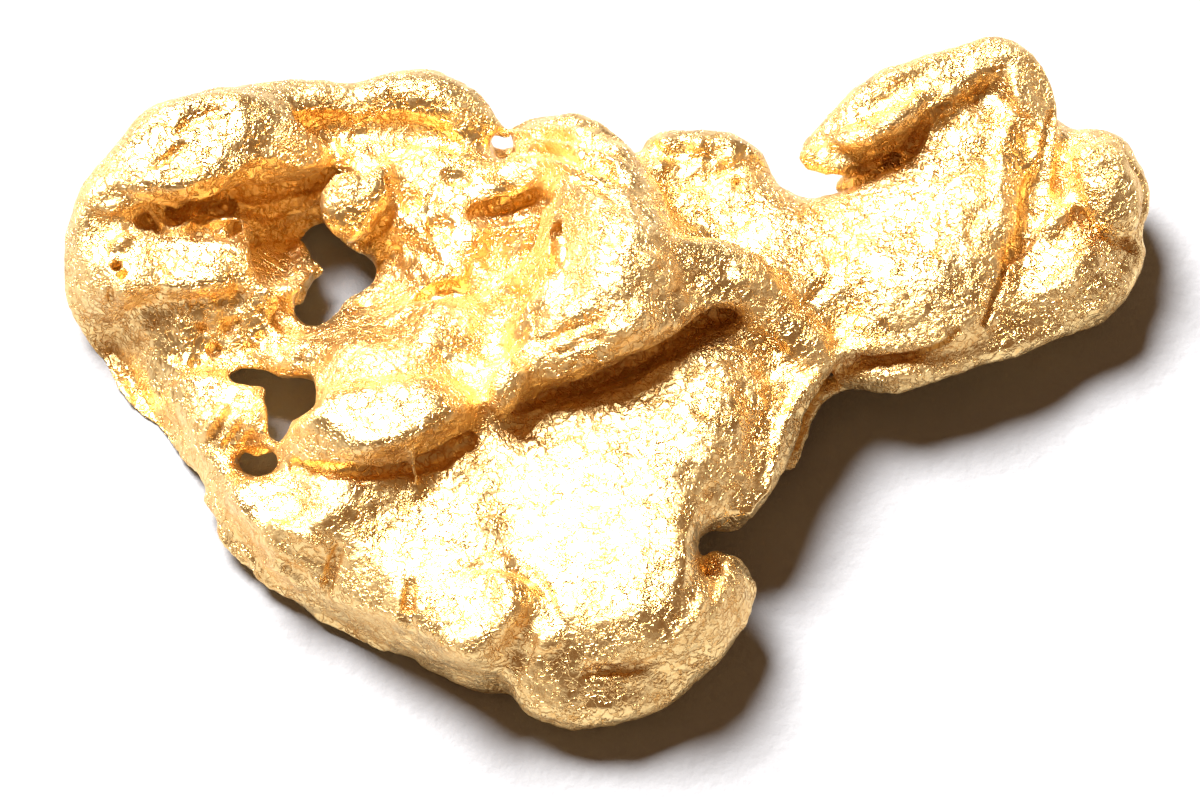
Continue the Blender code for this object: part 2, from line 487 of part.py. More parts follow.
def carving(collection):
    bm = bmesh.new()
    for stations in CREVICES.values():
        add_roll(bm, stations)
    for pit in PITS.values():
        add_lump(bm, *pit)
    for hole in HOLES.values():
        add_bore(bm, *hole)
    cutter = new_object("carving", bm, collection)
    cutter.hide_render = True
    cutter.display_type = "WIRE"
    add_remesh(cutter, CUTTER_VOXEL)
    return cutter


def carve(body, cutter):
    cut = body.modifiers.new("Carve", "BOOLEAN")
    cut.operation = "DIFFERENCE"
    cut.object = cutter
    add_remesh(body, VOXEL)
    soften = body.modifiers.new("Soften", "SMOOTH")
    soften.factor = 0.5
    soften.iterations = 2
    apply_modifiers(body)


def keep_largest(body):
    """Drops crumbs that hang on nothing, and bubbles sealed inside."""
    bm = bmesh.new()
    bm.from_mesh(body.data)
    left = set(bm.verts)
    pieces = []
    while left:
        piece = set()
        front = [left.pop()]
        while front:
            v = front.pop()
            piece.add(v)
            near = {edge.other_vert(v) for edge in v.link_edges} & left
            left -= near
            front.extend(near)
        pieces.append(piece)
    pieces.sort(key=len)
    crumbs = [v for piece in pieces[:-1] for v in piece]
    bmesh.ops.delete(bm, geom=crumbs, context="VERTS")
    bm.to_mesh(body.data)
    bm.free()


def wrinkle(body):
    """Battered relief along the normals, in two sizes."""
    mesh = body.data
    for v, normal in zip(mesh.vertices, [n.vector.copy() for n in mesh.vertex_normals]):
        lift = 0
        for length, height, phase in WRINKLES:
            lift += height * noise.fractal(v.co / length + Vector((phase, 0, 0)), 1.0, 2.0, 4)
        v.co += normal * lift


def settle(body):
    """Flattens the feet on the table and puts the origin under the middle of the box, in metres."""
    verts = body.data.vertices
    middle_x = (min(v.co.x for v in verts) + max(v.co.x for v in verts)) / 2
    middle_y = (min(v.co.y for v in verts) + max(v.co.y for v in verts)) / 2
    for v in verts:
        v.co.x -= middle_x
        v.co.y -= middle_y
        if v.co.z < FOOT_SNAP:
            v.co.z = 0
    body.data.transform(Matrix.Scale(MM, 4))


def thin_out(body):
    corners = sum(len(face.vertices) - 2 for face in body.data.polygons)
    decimate = body.modifiers.new("Thin", "DECIMATE")
    decimate.ratio = TRIANGLES / corners
    apply_modifiers(body)


def gold():
    material = bpy.data.materials.new("gold")
    material.use_nodes = True
    shader = material.node_tree.nodes["Principled BSDF"]
    shader.inputs["Base Color"].default_value = GOLD_COLOUR
    shader.inputs["Metallic"].default_value = 1
    shader.inputs["Roughness"].default_value = GOLD_ROUGHNESS
    return material


def build():
    for obj in list(bpy.data.objects):
        bpy.data.objects.remove(obj)
    part = bpy.data.collections.new(NAME)
    cutters = bpy.data.collections.new("cutters")
    bpy.context.scene.collection.children.link(part)
    bpy.context.scene.collection.children.link(cutters)

    body = rough_body(part)
    carve(body, carving(cutters))
    keep_largest(body)
    wrinkle(body)
    thin_out(body)
    settle(body)
    body.data.shade_smooth()
    body.data.materials.append(gold())
    return body


nugget = build()
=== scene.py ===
"""The gold nugget's looks: a finely carved copy of its solid, its gold, and a plain studio."""

import math

import bmesh
import bpy
import numpy as np
from mathutils import Matrix, Vector, noise
from mathutils.bvhtree import BVHTree


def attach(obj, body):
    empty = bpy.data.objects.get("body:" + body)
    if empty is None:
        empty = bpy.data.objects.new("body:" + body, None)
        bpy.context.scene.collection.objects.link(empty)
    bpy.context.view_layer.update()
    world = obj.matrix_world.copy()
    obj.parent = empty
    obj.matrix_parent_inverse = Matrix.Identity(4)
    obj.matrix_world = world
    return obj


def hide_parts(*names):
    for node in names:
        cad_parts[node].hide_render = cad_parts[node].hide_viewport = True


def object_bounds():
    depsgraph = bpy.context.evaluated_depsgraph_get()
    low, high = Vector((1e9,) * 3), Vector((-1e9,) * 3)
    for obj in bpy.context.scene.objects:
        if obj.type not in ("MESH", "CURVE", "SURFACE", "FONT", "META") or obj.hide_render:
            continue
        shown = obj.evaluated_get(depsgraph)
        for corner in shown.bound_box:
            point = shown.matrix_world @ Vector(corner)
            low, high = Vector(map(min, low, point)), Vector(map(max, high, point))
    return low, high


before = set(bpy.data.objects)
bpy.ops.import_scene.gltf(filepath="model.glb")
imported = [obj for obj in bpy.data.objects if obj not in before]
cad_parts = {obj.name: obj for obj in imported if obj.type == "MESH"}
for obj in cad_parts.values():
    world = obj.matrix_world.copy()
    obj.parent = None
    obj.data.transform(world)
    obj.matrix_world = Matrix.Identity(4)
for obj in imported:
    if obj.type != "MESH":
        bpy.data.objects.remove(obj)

cad_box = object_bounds()

MM = 0.001
NODE = "gold_nugget"

# The nugget is drawn on a sketch seen from the front, 60 degrees above the table. Places on the sketch are
# (right, up) from its middle; these and all other sizes of the body are millimetres, and turns are degrees.
SKETCH_TILT = math.radians(60)
COS_TILT = math.cos(SKETCH_TILT)
SIN_TILT = math.sin(SKETCH_TILT)
SKETCH_ORIGIN = (-0.224, 0.768)
SIGHT = Vector((0, -COS_TILT, SIN_TILT))

# Fineness of the carved body, and the most triangles it may have.
FIRST_VOXEL = 0.1
FORM_VOXEL = 0.08
FINE_VOXEL = 0.075
ADDED_VOXEL = 0.07
CUTTER_VOXEL = 0.06
TRIANGLE_LIMIT = 190000

# Looking along the line of sight: where rays start, how edge-on a face may be, and the skin that they skip.
FAR_OFF = 30
EDGE_ON = 0.02
SKIN = 0.03

# Points for each span of the lines of walls, rolls and strokes, and fineness of a ball.
WALL_STEPS = 6
ROLL_STEPS = 4
STROKE_STEPS = 4
BALL_FINENESS = 2

# A lift and a swell spare the foot: the height where each starts, and how far above it a lift is whole.
LIFT_START = 0.02
LIFT_EASE = 0.3
SWELL_START = 0.5

# Waves of the leaning walls, and how softly a wall ends inwards and at its two ends.
WALL_WAVE = 1.08
WALL_WAVE_START = (13.33, 8.92)
WALL_WAVE_SHARE = 0.45
WALL_EASE = 0.34
WALL_END_EASE = 8

# Flats: how squarely a face must lie, the strength, softness and most of the pull, and its reach.
FLAT_FACING = 0.35
FLAT_STRENGTH = 1.25
FLAT_SOFTNESS = 0.6
FLAT_MOST = 0.9
FLAT_REACH = 0.7

# Piercing: the tool leans from upright into the line of sight.
PIERCE_LEAN = math.radians(30)
PIERCE_HEIGHT = 4
PIERCE_LENGTH = 12
PIERCE_SIDES = 16

# Strokes: how fast they deepen from their ends, the share left at an end, and how sharp a crease is.
STROKE_END_EASE = 6
STROKE_END_SHARE = 0.25
CREASE_SHARPNESS = 1.4

# Native gold: clean metal, a darker gold painted into its wrinkles as shade and also laid on random specks,
# and its relief in metres.
# Towards the front the relief wears down to a share: where it is fully worn, and where it is whole.
GOLD_COLOUR = (1.0, 0.73, 0.33)
# Painted shade: the gold is darkened towards this colour along its wrinkles, and random specks take some of
# it too.
WRINKLE_SHADE_AND_SPECK_COLOUR = (0.8, 0.43, 0.12)
WRINKLE_SHADE_STRENGTH = 0.95
SPECK_TINT = 0.45
ROUGHNESS = (0.28, 0.42)
GRAIN_HEIGHT = 0.000031
FOIL_HEIGHT = 0.00009
PEBBLE_HEIGHT = 0.00006
WRINKLE_DEPTH = 0.000037
WORN_FRONT = (-0.0035, 0.0)
WORN_SHARE = 0.62

# Noise of the gold and the paper: scale for each metre, detail, roughness.
PATCH_NOISE = (620, 3, 0.6)
PEBBLE_NOISE = (4500, 1, 0.5)
GRAIN_NOISE = (13000, 3, 0.65)
FOIL_NOISE = (1300, 4, 0.55)
NARROW_NOISE = (2300, 3, 0.5)
GAP_NOISE = (1500, 2, 0.6)
THREAD_NOISE = (3600, 2, 0.5)
SPECK_NOISE = (7000, 3, 0.65)
FIBRE_NOISE = (1400, 4, 0.6)
BEND_SCALE = 2200
BEND_AMOUNT = 0.00025

# Lines drawn where a noise passes its middle: middle, width, strength.
BROAD_LINES = (0.5, 0.03, 1.0)
NARROW_LINES = (0.46, 0.025, 1.0)
THREAD_LINES = (0.5, 0.045, 0.7)

# Where in its noise each mask starts and is whole, and the share of the bumps outside and in the patches.
PATCH_RANGE = (0.38, 0.62)
GAP_RANGE = (0.4, 0.55)
SPECK_RANGE = (0.45, 0.62)
BUMP_SHARES = (0.5, 1.0)

# Crumpling of the body itself: depths, and sizes of the noise that makes it.
CRUMPLE_DEPTH = 0.028
CRUMPLE_SIZE = 0.85
CRUMPLE_MIDDLE = 1.2
CRUMPLE_BEND = 0.25
CRUMPLE_BEND_SIZE = 0.9
DENT_DEPTH = 0.022
DENT_SIZE = 0.3

# Its ridges: falloff, gap between octaves, octaves, offset, gain. Its dents: falloff, gap, octaves.
RIDGES = (1.0, 2.1, 4, 0.9, 1.6)
DENT_OCTAVES = (0.8, 2.0, 3)

# Wandering of added and cut shapes: how far, and the size of its broad and fine waves.
FORM_WANDER = 0.1
CUT_WANDER = 0.06
BROAD_WAVE = 0.7
FINE_WAVE = 0.3
FINE_WAVE_SHARE = 0.7

# The studio: a sheet of paper, one wide soft light from the left and behind, and a dim warm room.
# The paper and the camera's near and far limits are metres, the lens and the picture millimetres.
PAPER_SIZE = 2
PAPER_COLOUR = (0.34, 0.34, 0.35)
PAPER_ROUGHNESS = 0.9
PAPER_SHINE = 0.2
PAPER_GRAIN = 0.00008
KEY_DIRECTION = (-0.45, 0.55, 1)
KEY_STRENGTH = 13
KEY_SPREAD = 30
ROOM_COLOUR = (0.215, 0.12, 0.06)
LENS = 400
SENSOR_WIDTH = 36
PICTURE_WIDTH = 28.8
NEAR_LIMIT = 0.01
FAR_LIMIT = 5

# Leaning outer walls: reach, height of the foot, rise, outline.
WALLS = {
    "front": (
        0.86,
        0.35,
        2.5,
        [
            (-12.24, 1.84), (-11.57, 0.95), (-11.04, 0.08), (-10.44, -0.83), (-9.7, -1.76),
            (-9.48, -2.36), (-8.69, -3.56), (-7.44, -4.76), (-4.8, -6.08), (-3, -7.04), (-2.11, -7.24),
        ],
    ),
}

# Broad changes of the copied solid: kind, centre, half sizes, turn, amount.
# A swell and a lift move along the line of sight by millimetres, down where the amount is negative.
# A press keeps that share of the height, and a grab goes (right, up).
FIRST_SHIFTS = {
    "left_out": ("grab", (-12.67, 3.64), (1.92, 3.36), 0, (-0.2, 0)),
    "left_up": ("swell", (-12.14, 3.35), (0.91, 2.88), 0, 0.8),
    "front_left_out": ("grab", (-9.24, -2.84), (1.44, 1.44), -50, (-0.12, -0.1)),
    "left_low_out": ("grab", (-10.8, -0.32), (1.8, 1.44), -55, (-0.22, -0.06)),
    "crest_end_out": ("grab", (5.16, 5.92), (1.32, 1.08), 0, (-0.18, -0.1)),
    "crest_right": ("swell", (9.12, 7.84), (1.8, 1.01), 0, -0.45),
    "lobe_front": ("swell", (11.4, 2.39), (1.92, 0.72), 25, -0.35),
    "lobe_side": ("swell", (12.77, 5.2), (0.72, 1.8), 0, -0.5),
    "front_boulder": ("swell", (-9.12, -0.97), (1.44, 0.62), -15, -0.4),
    "shoulder_back": ("swell", (-9.79, 6.85), (2.04, 0.72), 22, 0.7),
    "shoulder_front": ("swell", (-10.2, 5.27), (2.28, 1.01), 8, 0.6),
    "bean_front": ("swell", (-5.28, -1.07), (2.64, 0.82), 8, 0.5),
    "lip_front": ("swell", (0.96, 1.52), (3.12, 0.96), 26, 0.5),
    "plate_right": ("swell", (2.16, -3.8), (2.88, 3.12), 0, 0.6),
    "saddle_valley": ("swell", (1.97, 4.72), (1.32, 1.32), 0, 0.5),
    "ridge_foot": ("swell", (-2.28, 0.4), (1.08, 0.96), 0, 0.4),
    "left_low": ("press", (-9.84, 0.04), (4.56, 4.56), 0, 0.62),
    "left_mid": ("press", (-11.28, 2.68), (2.88, 2.88), 0, 0.75),
    "window_low": ("press", (-6.91, 4.07), (1.87, 1.73), 0, 0.4),
    "bridge_low": ("press", (-8.69, 1.6), (2.28, 1.2), 8, 0.7),
    "bowl_floor": ("press", (-5.16, 2.8), (1.56, 1.8), 0, 0.7),
    "plate_front": ("swell", (-4.32, -5.24), (2.64, 1.1), -30, 1),
    "arm_front": ("lift", (8.4, 0.64), (4.56, 3.6), 12, 1),
    "lobe_right": ("press", (12.96, 3.16), (1.44, 2.4), 0, 0.88),
    "plate_rim": ("swell", (2.88, -0.68), (2.64, 3.12), 0, 0.45),
}

# Flats of the seen surface: centre, half sizes, turn, height, rise to the right, rise upwards.
LEVELS = [
    ((-10.22, 3.25), (2.11, 1.06), 0, 3, 0.1, 0),
    ((-9, 0.04), (1.34, 0.72), -20, 1.95, 0.15, 0),
    ((-8.98, -0.78), (1.1, 0.53), -15, 1.75, -0.1, 0.8),
    ((-7.87, -2.32), (1.3, 0.77), -15, 2.7, 0.15, 0),
    ((-5.28, -0.2), (2.69, 0.82), 2, 4.45, 0.1, 0),
    ((0.36, -3.44), (3.36, 2.88), -30, 3.4, 0.1, 0),
    ((2.54, 4.84), (1.92, 1.06), 0, 2.95, 0.05, 0),
    ((7.56, 1.72), (2.16, 0.67), 8, 2.95, 0, 0.5),
    ((7.92, 7.52), (2.4, 0.77), 28, 3.95, 0.05, 0),
    ((9.94, 5.68), (0.62, 1.92), -8, 3.3, -0.9, 0),
    ((10.37, 7.43), (0.62, 0.96), 20, 3.55, -0.9, 0),
    ((12.43, 4.96), (0.72, 1.44), 8, 2.55, -1, 0),
    ((11.64, 2.39), (1.68, 0.53), 22, 2.1, -0.3, 0.8),
    ((-11.71, 3.35), (1.01, 1.73), 0, 2.85, 0.3, 0),
    ((10.68, 3.35), (1.25, 1.06), 40, 2.6, 0.15, 0),
    ((11.62, 5.51), (0.72, 1.06), -10, 2.95, 0.3, 0),
    ((-9.79, 6.35), (2.28, 1.25), 25, 3.9, 0.1, 0),
    ((-0.77, 4.48), (0.82, 2.16), 0, 4.9, 0.9, 0),
    ((-2.69, -4.67), (1.2, 1.2), 0, 3.5, 0.3, 0.1),
    ((-4.44, -4.4), (2.64, 1.68), -32, 2.95, 0.1, 0),
]

# Rolls and lips laid on the surface: right, up, lift, radius.
ROLLS = {
    "lobe_top": [(12, 5.6, -0.2, 0.75), (12.19, 4.96, -0.25, 0.85), (12.29, 4.48, -0.25, 0.75)],
    "cave_step": [
        (-8.98, 4.55, -0.02, 0.12), (-8.4, 4.31, 0, 0.14), (-7.87, 4.26, 0, 0.15), (-7.2, 4.72, 0, 0.15),
        (-6.34, 5.27, -0.02, 0.12),
    ],
    "pebble": [(10.75, 4.02, 0, 0.18), (10.99, 4.45, 0.03, 0.22), (11.18, 4.74, 0, 0.16)],
    "ridge_end": [(-2.11, 0.56, -0.1, 0.4), (-2.26, 0.23, -0.1, 0.42), (-2.28, -0.01, -0.15, 0.35)],
    "boulder_top_knob": [(-9.89, 4.16, 0, 0.2), (-9.48, 4.31, 0, 0.22), (-9.17, 4.12, 0, 0.18)],
    "boulder_left_knob": [(-11.57, 3.73, 0, 0.18), (-11.33, 3.78, 0, 0.18)],
    "pale_ledge": [(-10.8, 1.31, -0.1, 0.12), (-10.42, 1.33, -0.1, 0.14), (-10.03, 1.4, -0.1, 0.1)],
    "window_hook_back": [
        (-7.44, 3.11, -0.05, 0.16), (-7.2, 3.25, -0.05, 0.18), (-6.91, 3.16, 0.05, 0.12),
        (-6.72, 2.96, 0.1, 0.08),
    ],
    "window_hook_front": [(-7.49, 2.63, -0.05, 0.14), (-7.2, 2.72, 0, 0.15), (-6.91, 2.68, 0.05, 0.1)],
    "knob_tail": [(-6.12, 3.92, -0.1, 0.16), (-5.95, 3.68, -0.1, 0.14), (-5.57, 3.54, -0.05, 0.12)],
    "bean_strut": [(-4.46, -1.07, -0.05, 0.1), (-4.42, -1.6, 0.25, 0.09), (-4.32, -2.24, -0.05, 0.1)],
    "neck_edge": [
        (6.38, 1.24, 0.06, 0.13), (5.71, 1.14, 0.08, 0.14), (5.09, 0.61, 0.08, 0.14),
        (4.66, -0.01, 0.08, 0.14), (4.39, -0.56, 0.08, 0.14), (4.2, -1.16, 0.08, 0.14),
        (3.98, -1.88, 0.06, 0.13), (3.5, -2.6, 0.04, 0.12),
    ],
    "arm_lip": [
        (4.8, -0.16, -0.05, 0.1), (5.23, 0.4, -0.05, 0.1), (5.88, 0.23, -0.05, 0.1),
        (6.84, 0.08, -0.05, 0.1), (7.92, 0.32, -0.05, 0.1), (9.12, 0.71, -0.05, 0.1),
    ],
    "lip_edge": [
        (3.31, 2.44, 0, 0.1), (2.4, 2.29, 0, 0.1), (1.73, 1.96, 0, 0.1), (1.01, 1.36, 0, 0.1),
        (0, 1, 0, 0.1), (-0.84, 0.66, 0, 0.1), (-1.44, 0.56, 0, 0.1),
    ],
    "toe_rim": [
        (-0.24, -6.08, 0, 0.1), (0.72, -6.06, 0, 0.1), (1.49, -5.72, 0, 0.11), (2.02, -5.29, 0, 0.11),
        (2.45, -4.67, 0, 0.11), (2.54, -4, 0, 0.1),
    ],
    "hump_slit_lip": [(-0.29, 6.04, 0, 0.08), (0.12, 5.92, 0, 0.09), (0.48, 5.68, 0, 0.08)],
    "shoulder_lip": [
        (-10.44, 5.17, -0.05, 0.12), (-9.89, 4.93, -0.02, 0.13), (-9.22, 5.03, -0.02, 0.13),
        (-8.74, 5.65, -0.02, 0.14), (-7.92, 5.84, -0.02, 0.14), (-6.96, 5.7, -0.02, 0.14),
        (-6.43, 5.84, -0.05, 0.12),
    ],
}

# Rolls at a height of their own: right, up, height, radius.
BRIDGES = {
    "arm_gap_fill": [
        (5.71, 0.66, 1.6, 0.25), (6.29, 0.66, 1.9, 0.3), (6.96, 0.66, 2, 0.3), (7.63, 0.83, 2, 0.28),
        (8.28, 1.19, 2, 0.25),
    ],
    "bay_fill": [
        (5.95, 5.22, 1.6, 0.3), (6.29, 5.39, 1.9, 0.35), (6.72, 5.53, 2, 0.35), (7.08, 5.65, 2.2, 0.3),
    ],
    "shoulder_blend": [(-12.1, 4.76, 3.05, 0.3), (-11.57, 4.69, 3, 0.32), (-11.09, 4.74, 2.95, 0.28)],
    "crest_lip": [
        (5.66, 6.23, 3.6, 0.26), (6.14, 6.32, 3.7, 0.3), (6.62, 6.47, 3.8, 0.3), (7.06, 6.66, 3.9, 0.3),
        (7.39, 6.92, 3.9, 0.28), (7.68, 7.16, 3.85, 0.26), (8.02, 7.4, 3.75, 0.24),
        (8.45, 7.55, 3.65, 0.2), (8.93, 7.57, 3.6, 0.16),
    ],
    "arm_gap_floor": [
        (5.88, 0.88, 1.3, 0.3), (6.38, 0.9, 1.5, 0.32), (6.91, 0.95, 1.65, 0.32),
        (7.34, 1.04, 1.75, 0.32), (7.87, 1.24, 1.8, 0.3),
    ],
    "crest_end": [(5.09, 5.8, 3.2, 0.33), (5.57, 5.7, 3.2, 0.33), (6, 5.65, 3.1, 0.28)],
    "crest_back": [(5.9, 5.51, 2.5, 0.24), (6.29, 5.6, 2.6, 0.24), (6.67, 5.7, 2.7, 0.24)],
    "notch_fill_back": [(-2.69, 6.47, 1.7, 0.14), (-2.42, 6.52, 1.7, 0.15), (-2.16, 6.42, 1.7, 0.12)],
    "hole_side": [(-8.98, -1.16, 1.1, 0.26), (-8.88, -1.64, 1, 0.26)],
    "hole_top": [(-8.64, -1.07, 1.3, 0.12), (-8.21, -1.19, 1.3, 0.15), (-7.87, -1.14, 1.3, 0.12)],
    "cave_floor": [
        (-11.62, 1.72, 1.25, 0.22), (-11.14, 1.72, 1.3, 0.26), (-10.61, 1.72, 1.4, 0.26),
        (-10.13, 1.72, 1.55, 0.22),
    ],
    "cave_back": [
        (-11.47, 2.1, 1.45, 0.26), (-11.04, 2.1, 1.5, 0.3), (-10.56, 2.1, 1.6, 0.3),
        (-10.08, 2.1, 1.8, 0.26),
    ],
    "slot_fill": [
        (-10.18, 2.34, 1.9, 0.2), (-9.7, 2.29, 2.1, 0.24), (-9.12, 2.32, 2.15, 0.26),
        (-8.54, 2.34, 2.1, 0.24),
    ],
    "window_hook_stem": [
        (-7.3, 3.73, 0.8, 0.22), (-7.1, 3.35, 0.9, 0.26), (-7.15, 2.92, 1, 0.28), (-7.3, 2.48, 1.1, 0.22),
    ],
    "window_hook_tip": [(-7.2, 3.2, 0.9, 0.2), (-6.86, 3.3, 1, 0.16), (-6.72, 3.06, 1, 0.12)],
    "notch_fill": [(-2.74, 6.04, 1.5, 0.25), (-2.4, 5.8, 1.5, 0.28), (-2.06, 5.92, 1.5, 0.25)],
    "curl": [
        (2.69, -3.85, 1.6, 0.35), (3.05, -4.04, 1.7, 0.45), (3.19, -4.48, 1.7, 0.5), (3.07, -5, 1.6, 0.5),
    ],
    "front_left": [
        (-9.02, -1.93, 0.7, 0.5), (-8.88, -2.41, 0.7, 0.5), (-8.5, -3.08, 0.7, 0.5),
        (-7.97, -3.71, 0.7, 0.5), (-7.3, -4.28, 0.7, 0.5),
    ],
}

# Lumps set on the surface: (right, up, lift), half sizes, turn, tilt.
LUMPS = {
    "low_diamond": ((-1.2, -5.58, 0), (0.42, 0.36, 0.2), 30, 0),
    "knob": ((-5.95, 4.69, 0.25), (0.78, 0.88, 0.6), 0, 20),
}

# Caves and creases cut along the surface: right, up, lift, radius, or right, up, back, down, radius.
CAVES = {
    "hump_slit": [(-0.24, 6.28, -0.05, 0.07), (0.12, 6.11, -0.05, 0.09), (0.43, 5.89, -0.05, 0.07)],
    "trough": [
        (-7.15, 6.8, 0.04, 0.26), (-6.67, 6.56, 0.08, 0.46), (-6, 6.52, 0.12, 0.42),
        (-5.16, 6.56, 0.12, 0.42), (-4.32, 6.47, 0.12, 0.42), (-3.48, 6.23, 0.08, 0.3),
    ],
    "cup_wall": [
        (-3.02, 4.45, 0.1, 0.05, 0.2), (-2.4, 4.62, 0.14, 0.08, 0.28), (-1.73, 4.86, 0.12, 0.06, 0.24),
        (-1.2, 4.72, 0.06, 0.05, 0.18),
    ],
    "cup_right": [
        (-0.94, 4.16, 0.02, 0.24, 0.24), (-0.89, 3.68, 0.02, 0.28, 0.28), (-1.06, 3.16, 0.02, 0.24, 0.25),
        (-1.44, 2.72, 0.02, 0.06, 0.16),
    ],
    "basin_pit_middle": [
        (-4.22, 2.44, -0.1, 0.22), (-3.67, 2.65, -0.15, 0.27), (-3.22, 2.63, -0.15, 0.25),
        (-2.98, 2.99, -0.1, 0.22),
    ],
    "basin_pit_right": [(-2.26, 2.65, -0.08, 0.14), (-1.78, 2.51, -0.08, 0.14)],
    "basin_pit_left": [
        (-6.12, 1.48, -0.05, 0.1), (-5.47, 1.72, -0.05, 0.13), (-4.85, 1.96, -0.08, 0.15),
        (-4.37, 2.24, -0.08, 0.15),
    ],
    "lip_cave": [
        (3.07, 2.1, 0.12, 0.08, 0.3), (2.4, 1.96, 0.18, 0.12, 0.4), (1.44, 1.31, 0.2, 0.14, 0.44),
        (0.48, 0.83, 0.2, 0.14, 0.42), (-0.43, 0.47, 0.14, 0.1, 0.34), (-1.25, 0.18, 0.1, 0.06, 0.26),
        (-1.92, -0.2, 0.06, 0.04, 0.2),
    ],
    "bean_gap": [
        (-7.25, -1.55, 0.1, 0.06, 0.2), (-6.12, -1.72, 0.14, 0.08, 0.24), (-4.8, -1.64, 0.14, 0.08, 0.26),
        (-3.89, -1.36, 0.16, 0.1, 0.34), (-3.12, -1.02, 0.12, 0.08, 0.26),
    ],
    "crest_slit": [
        (6, 5.51, 0.04, 0.04, 0.14), (6.53, 5.56, 0.06, 0.06, 0.22), (7.2, 5.84, 0.06, 0.06, 0.22),
        (7.63, 6.32, 0.06, 0.06, 0.19), (7.92, 6.85, 0.05, 0.05, 0.15), (8.45, 7.19, 0.04, 0.04, 0.11),
        (9.02, 7.28, 0.03, 0.03, 0.1),
    ],
    "arm_crevice": [
        (10.85, 6.95, -0.05, 0.12), (10.7, 6.04, -0.05, 0.22), (10.49, 5.17, -0.05, 0.4),
        (10.3, 4.4, -0.05, 0.42), (9.98, 3.73, -0.08, 0.3), (9.67, 3.3, -0.1, 0.17),
        (9.48, 2.63, -0.1, 0.17), (9.22, 2, -0.1, 0.13), (9.05, 1.62, -0.05, 0.1),
    ],
    "lobe_under": [
        (11.23, 4.79, -0.05, 0.1), (11.66, 4.31, 0.08, 0.1, 0.16), (12.14, 3.97, 0.08, 0.1, 0.16),
        (12.82, 3.61, 0.05, 0.08, 0.12),
    ],
    "arm_gap": [
        (5.81, 1.07, 0.03, 0.02, 0.11), (6.48, 0.97, 0.04, 0.02, 0.12), (7.2, 1.02, 0.05, 0.03, 0.13),
        (7.87, 1.28, 0.05, 0.03, 0.14), (8.54, 1.67, 0.04, 0.03, 0.12),
    ],
    "neck_gap": [
        (5.71, 0.85, -0.08, 0.13), (5.18, 0.23, -0.09, 0.16), (4.87, -0.32, -0.09, 0.16),
        (4.66, -1.04, -0.08, 0.12),
    ],
    "toe_slit": [
        (-0.38, -6.4, -0.02, 0.12), (0.24, -6.32, -0.05, 0.17), (0.96, -6.25, -0.05, 0.17),
        (1.44, -6.01, -0.02, 0.12),
    ],
    "boss_crack": [
        (-3.02, -6.97, -0.05, 0.09), (-2.4, -6.71, -0.05, 0.12), (-1.92, -6.37, -0.05, 0.1),
        (-1.66, -5.96, -0.03, 0.08),
    ],
    "big_cave_left": [
        (-11.26, 4.12, -0.05, 0.14), (-11.14, 4.55, -0.05, 0.15), (-10.75, 4.64, 0, 0.08, 0.16),
        (-10.27, 4.5, 0.03, 0.12, 0.24), (-9.65, 4.5, 0.05, 0.12, 0.26), (-8.98, 4.64, 0.05, 0.12, 0.24),
    ],
    "big_cave_low": [
        (-10.8, 4.16, -0.06, 0.14), (-10.27, 4.02, -0.08, 0.2), (-9.55, 4.07, -0.1, 0.22),
        (-8.83, 4.12, -0.1, 0.24), (-8.28, 3.92, -0.1, 0.2),
    ],
    "big_cave_back": [
        (-8.88, 5.08, 0.1, 0.1, 0.3), (-8.04, 5.08, 0.1, 0.1, 0.35), (-7.2, 5.2, 0.1, 0.1, 0.35),
        (-6.53, 5.51, 0.1, 0.1, 0.25),
    ],
    "shoulder_crack_back": [
        (-10.13, 6.4, -0.03, 0.09), (-9.84, 6.68, -0.05, 0.13), (-9.46, 6.88, -0.05, 0.13),
        (-9, 7.09, -0.03, 0.09),
    ],
    "shoulder_crack_front": [
        (-10.8, 5.63, -0.03, 0.09), (-10.42, 5.77, -0.05, 0.13), (-10.18, 6.01, -0.05, 0.12),
        (-9.94, 6.16, -0.03, 0.09),
    ],
    "knob_slot": [
        (-5.18, 5.36, -0.1, 0.12), (-5.04, 4.84, -0.1, 0.17), (-5.18, 4.31, -0.1, 0.2),
        (-5.62, 3.88, -0.1, 0.14),
    ],
    "lip_hollow": [(0, 1.52, 0, 0.13), (-0.96, 1.19, 0, 0.12)],
    "front_crease": [
        (-6.07, -3.32, -0.02, 0.08), (-6.26, -3.8, -0.03, 0.15), (-6.46, -4.33, -0.03, 0.13),
        (-6.5, -4.67, -0.02, 0.08),
    ],
    "low_crease": [(-4.42, -4.19, -0.02, 0.08), (-4.51, -4.86, -0.03, 0.13), (-4.39, -5.58, -0.02, 0.1)],
    "curl_slit": [(2.64, -3.85, -0.05, 0.12), (2.74, -4.28, -0.06, 0.16), (2.69, -4.76, -0.05, 0.12)],
}

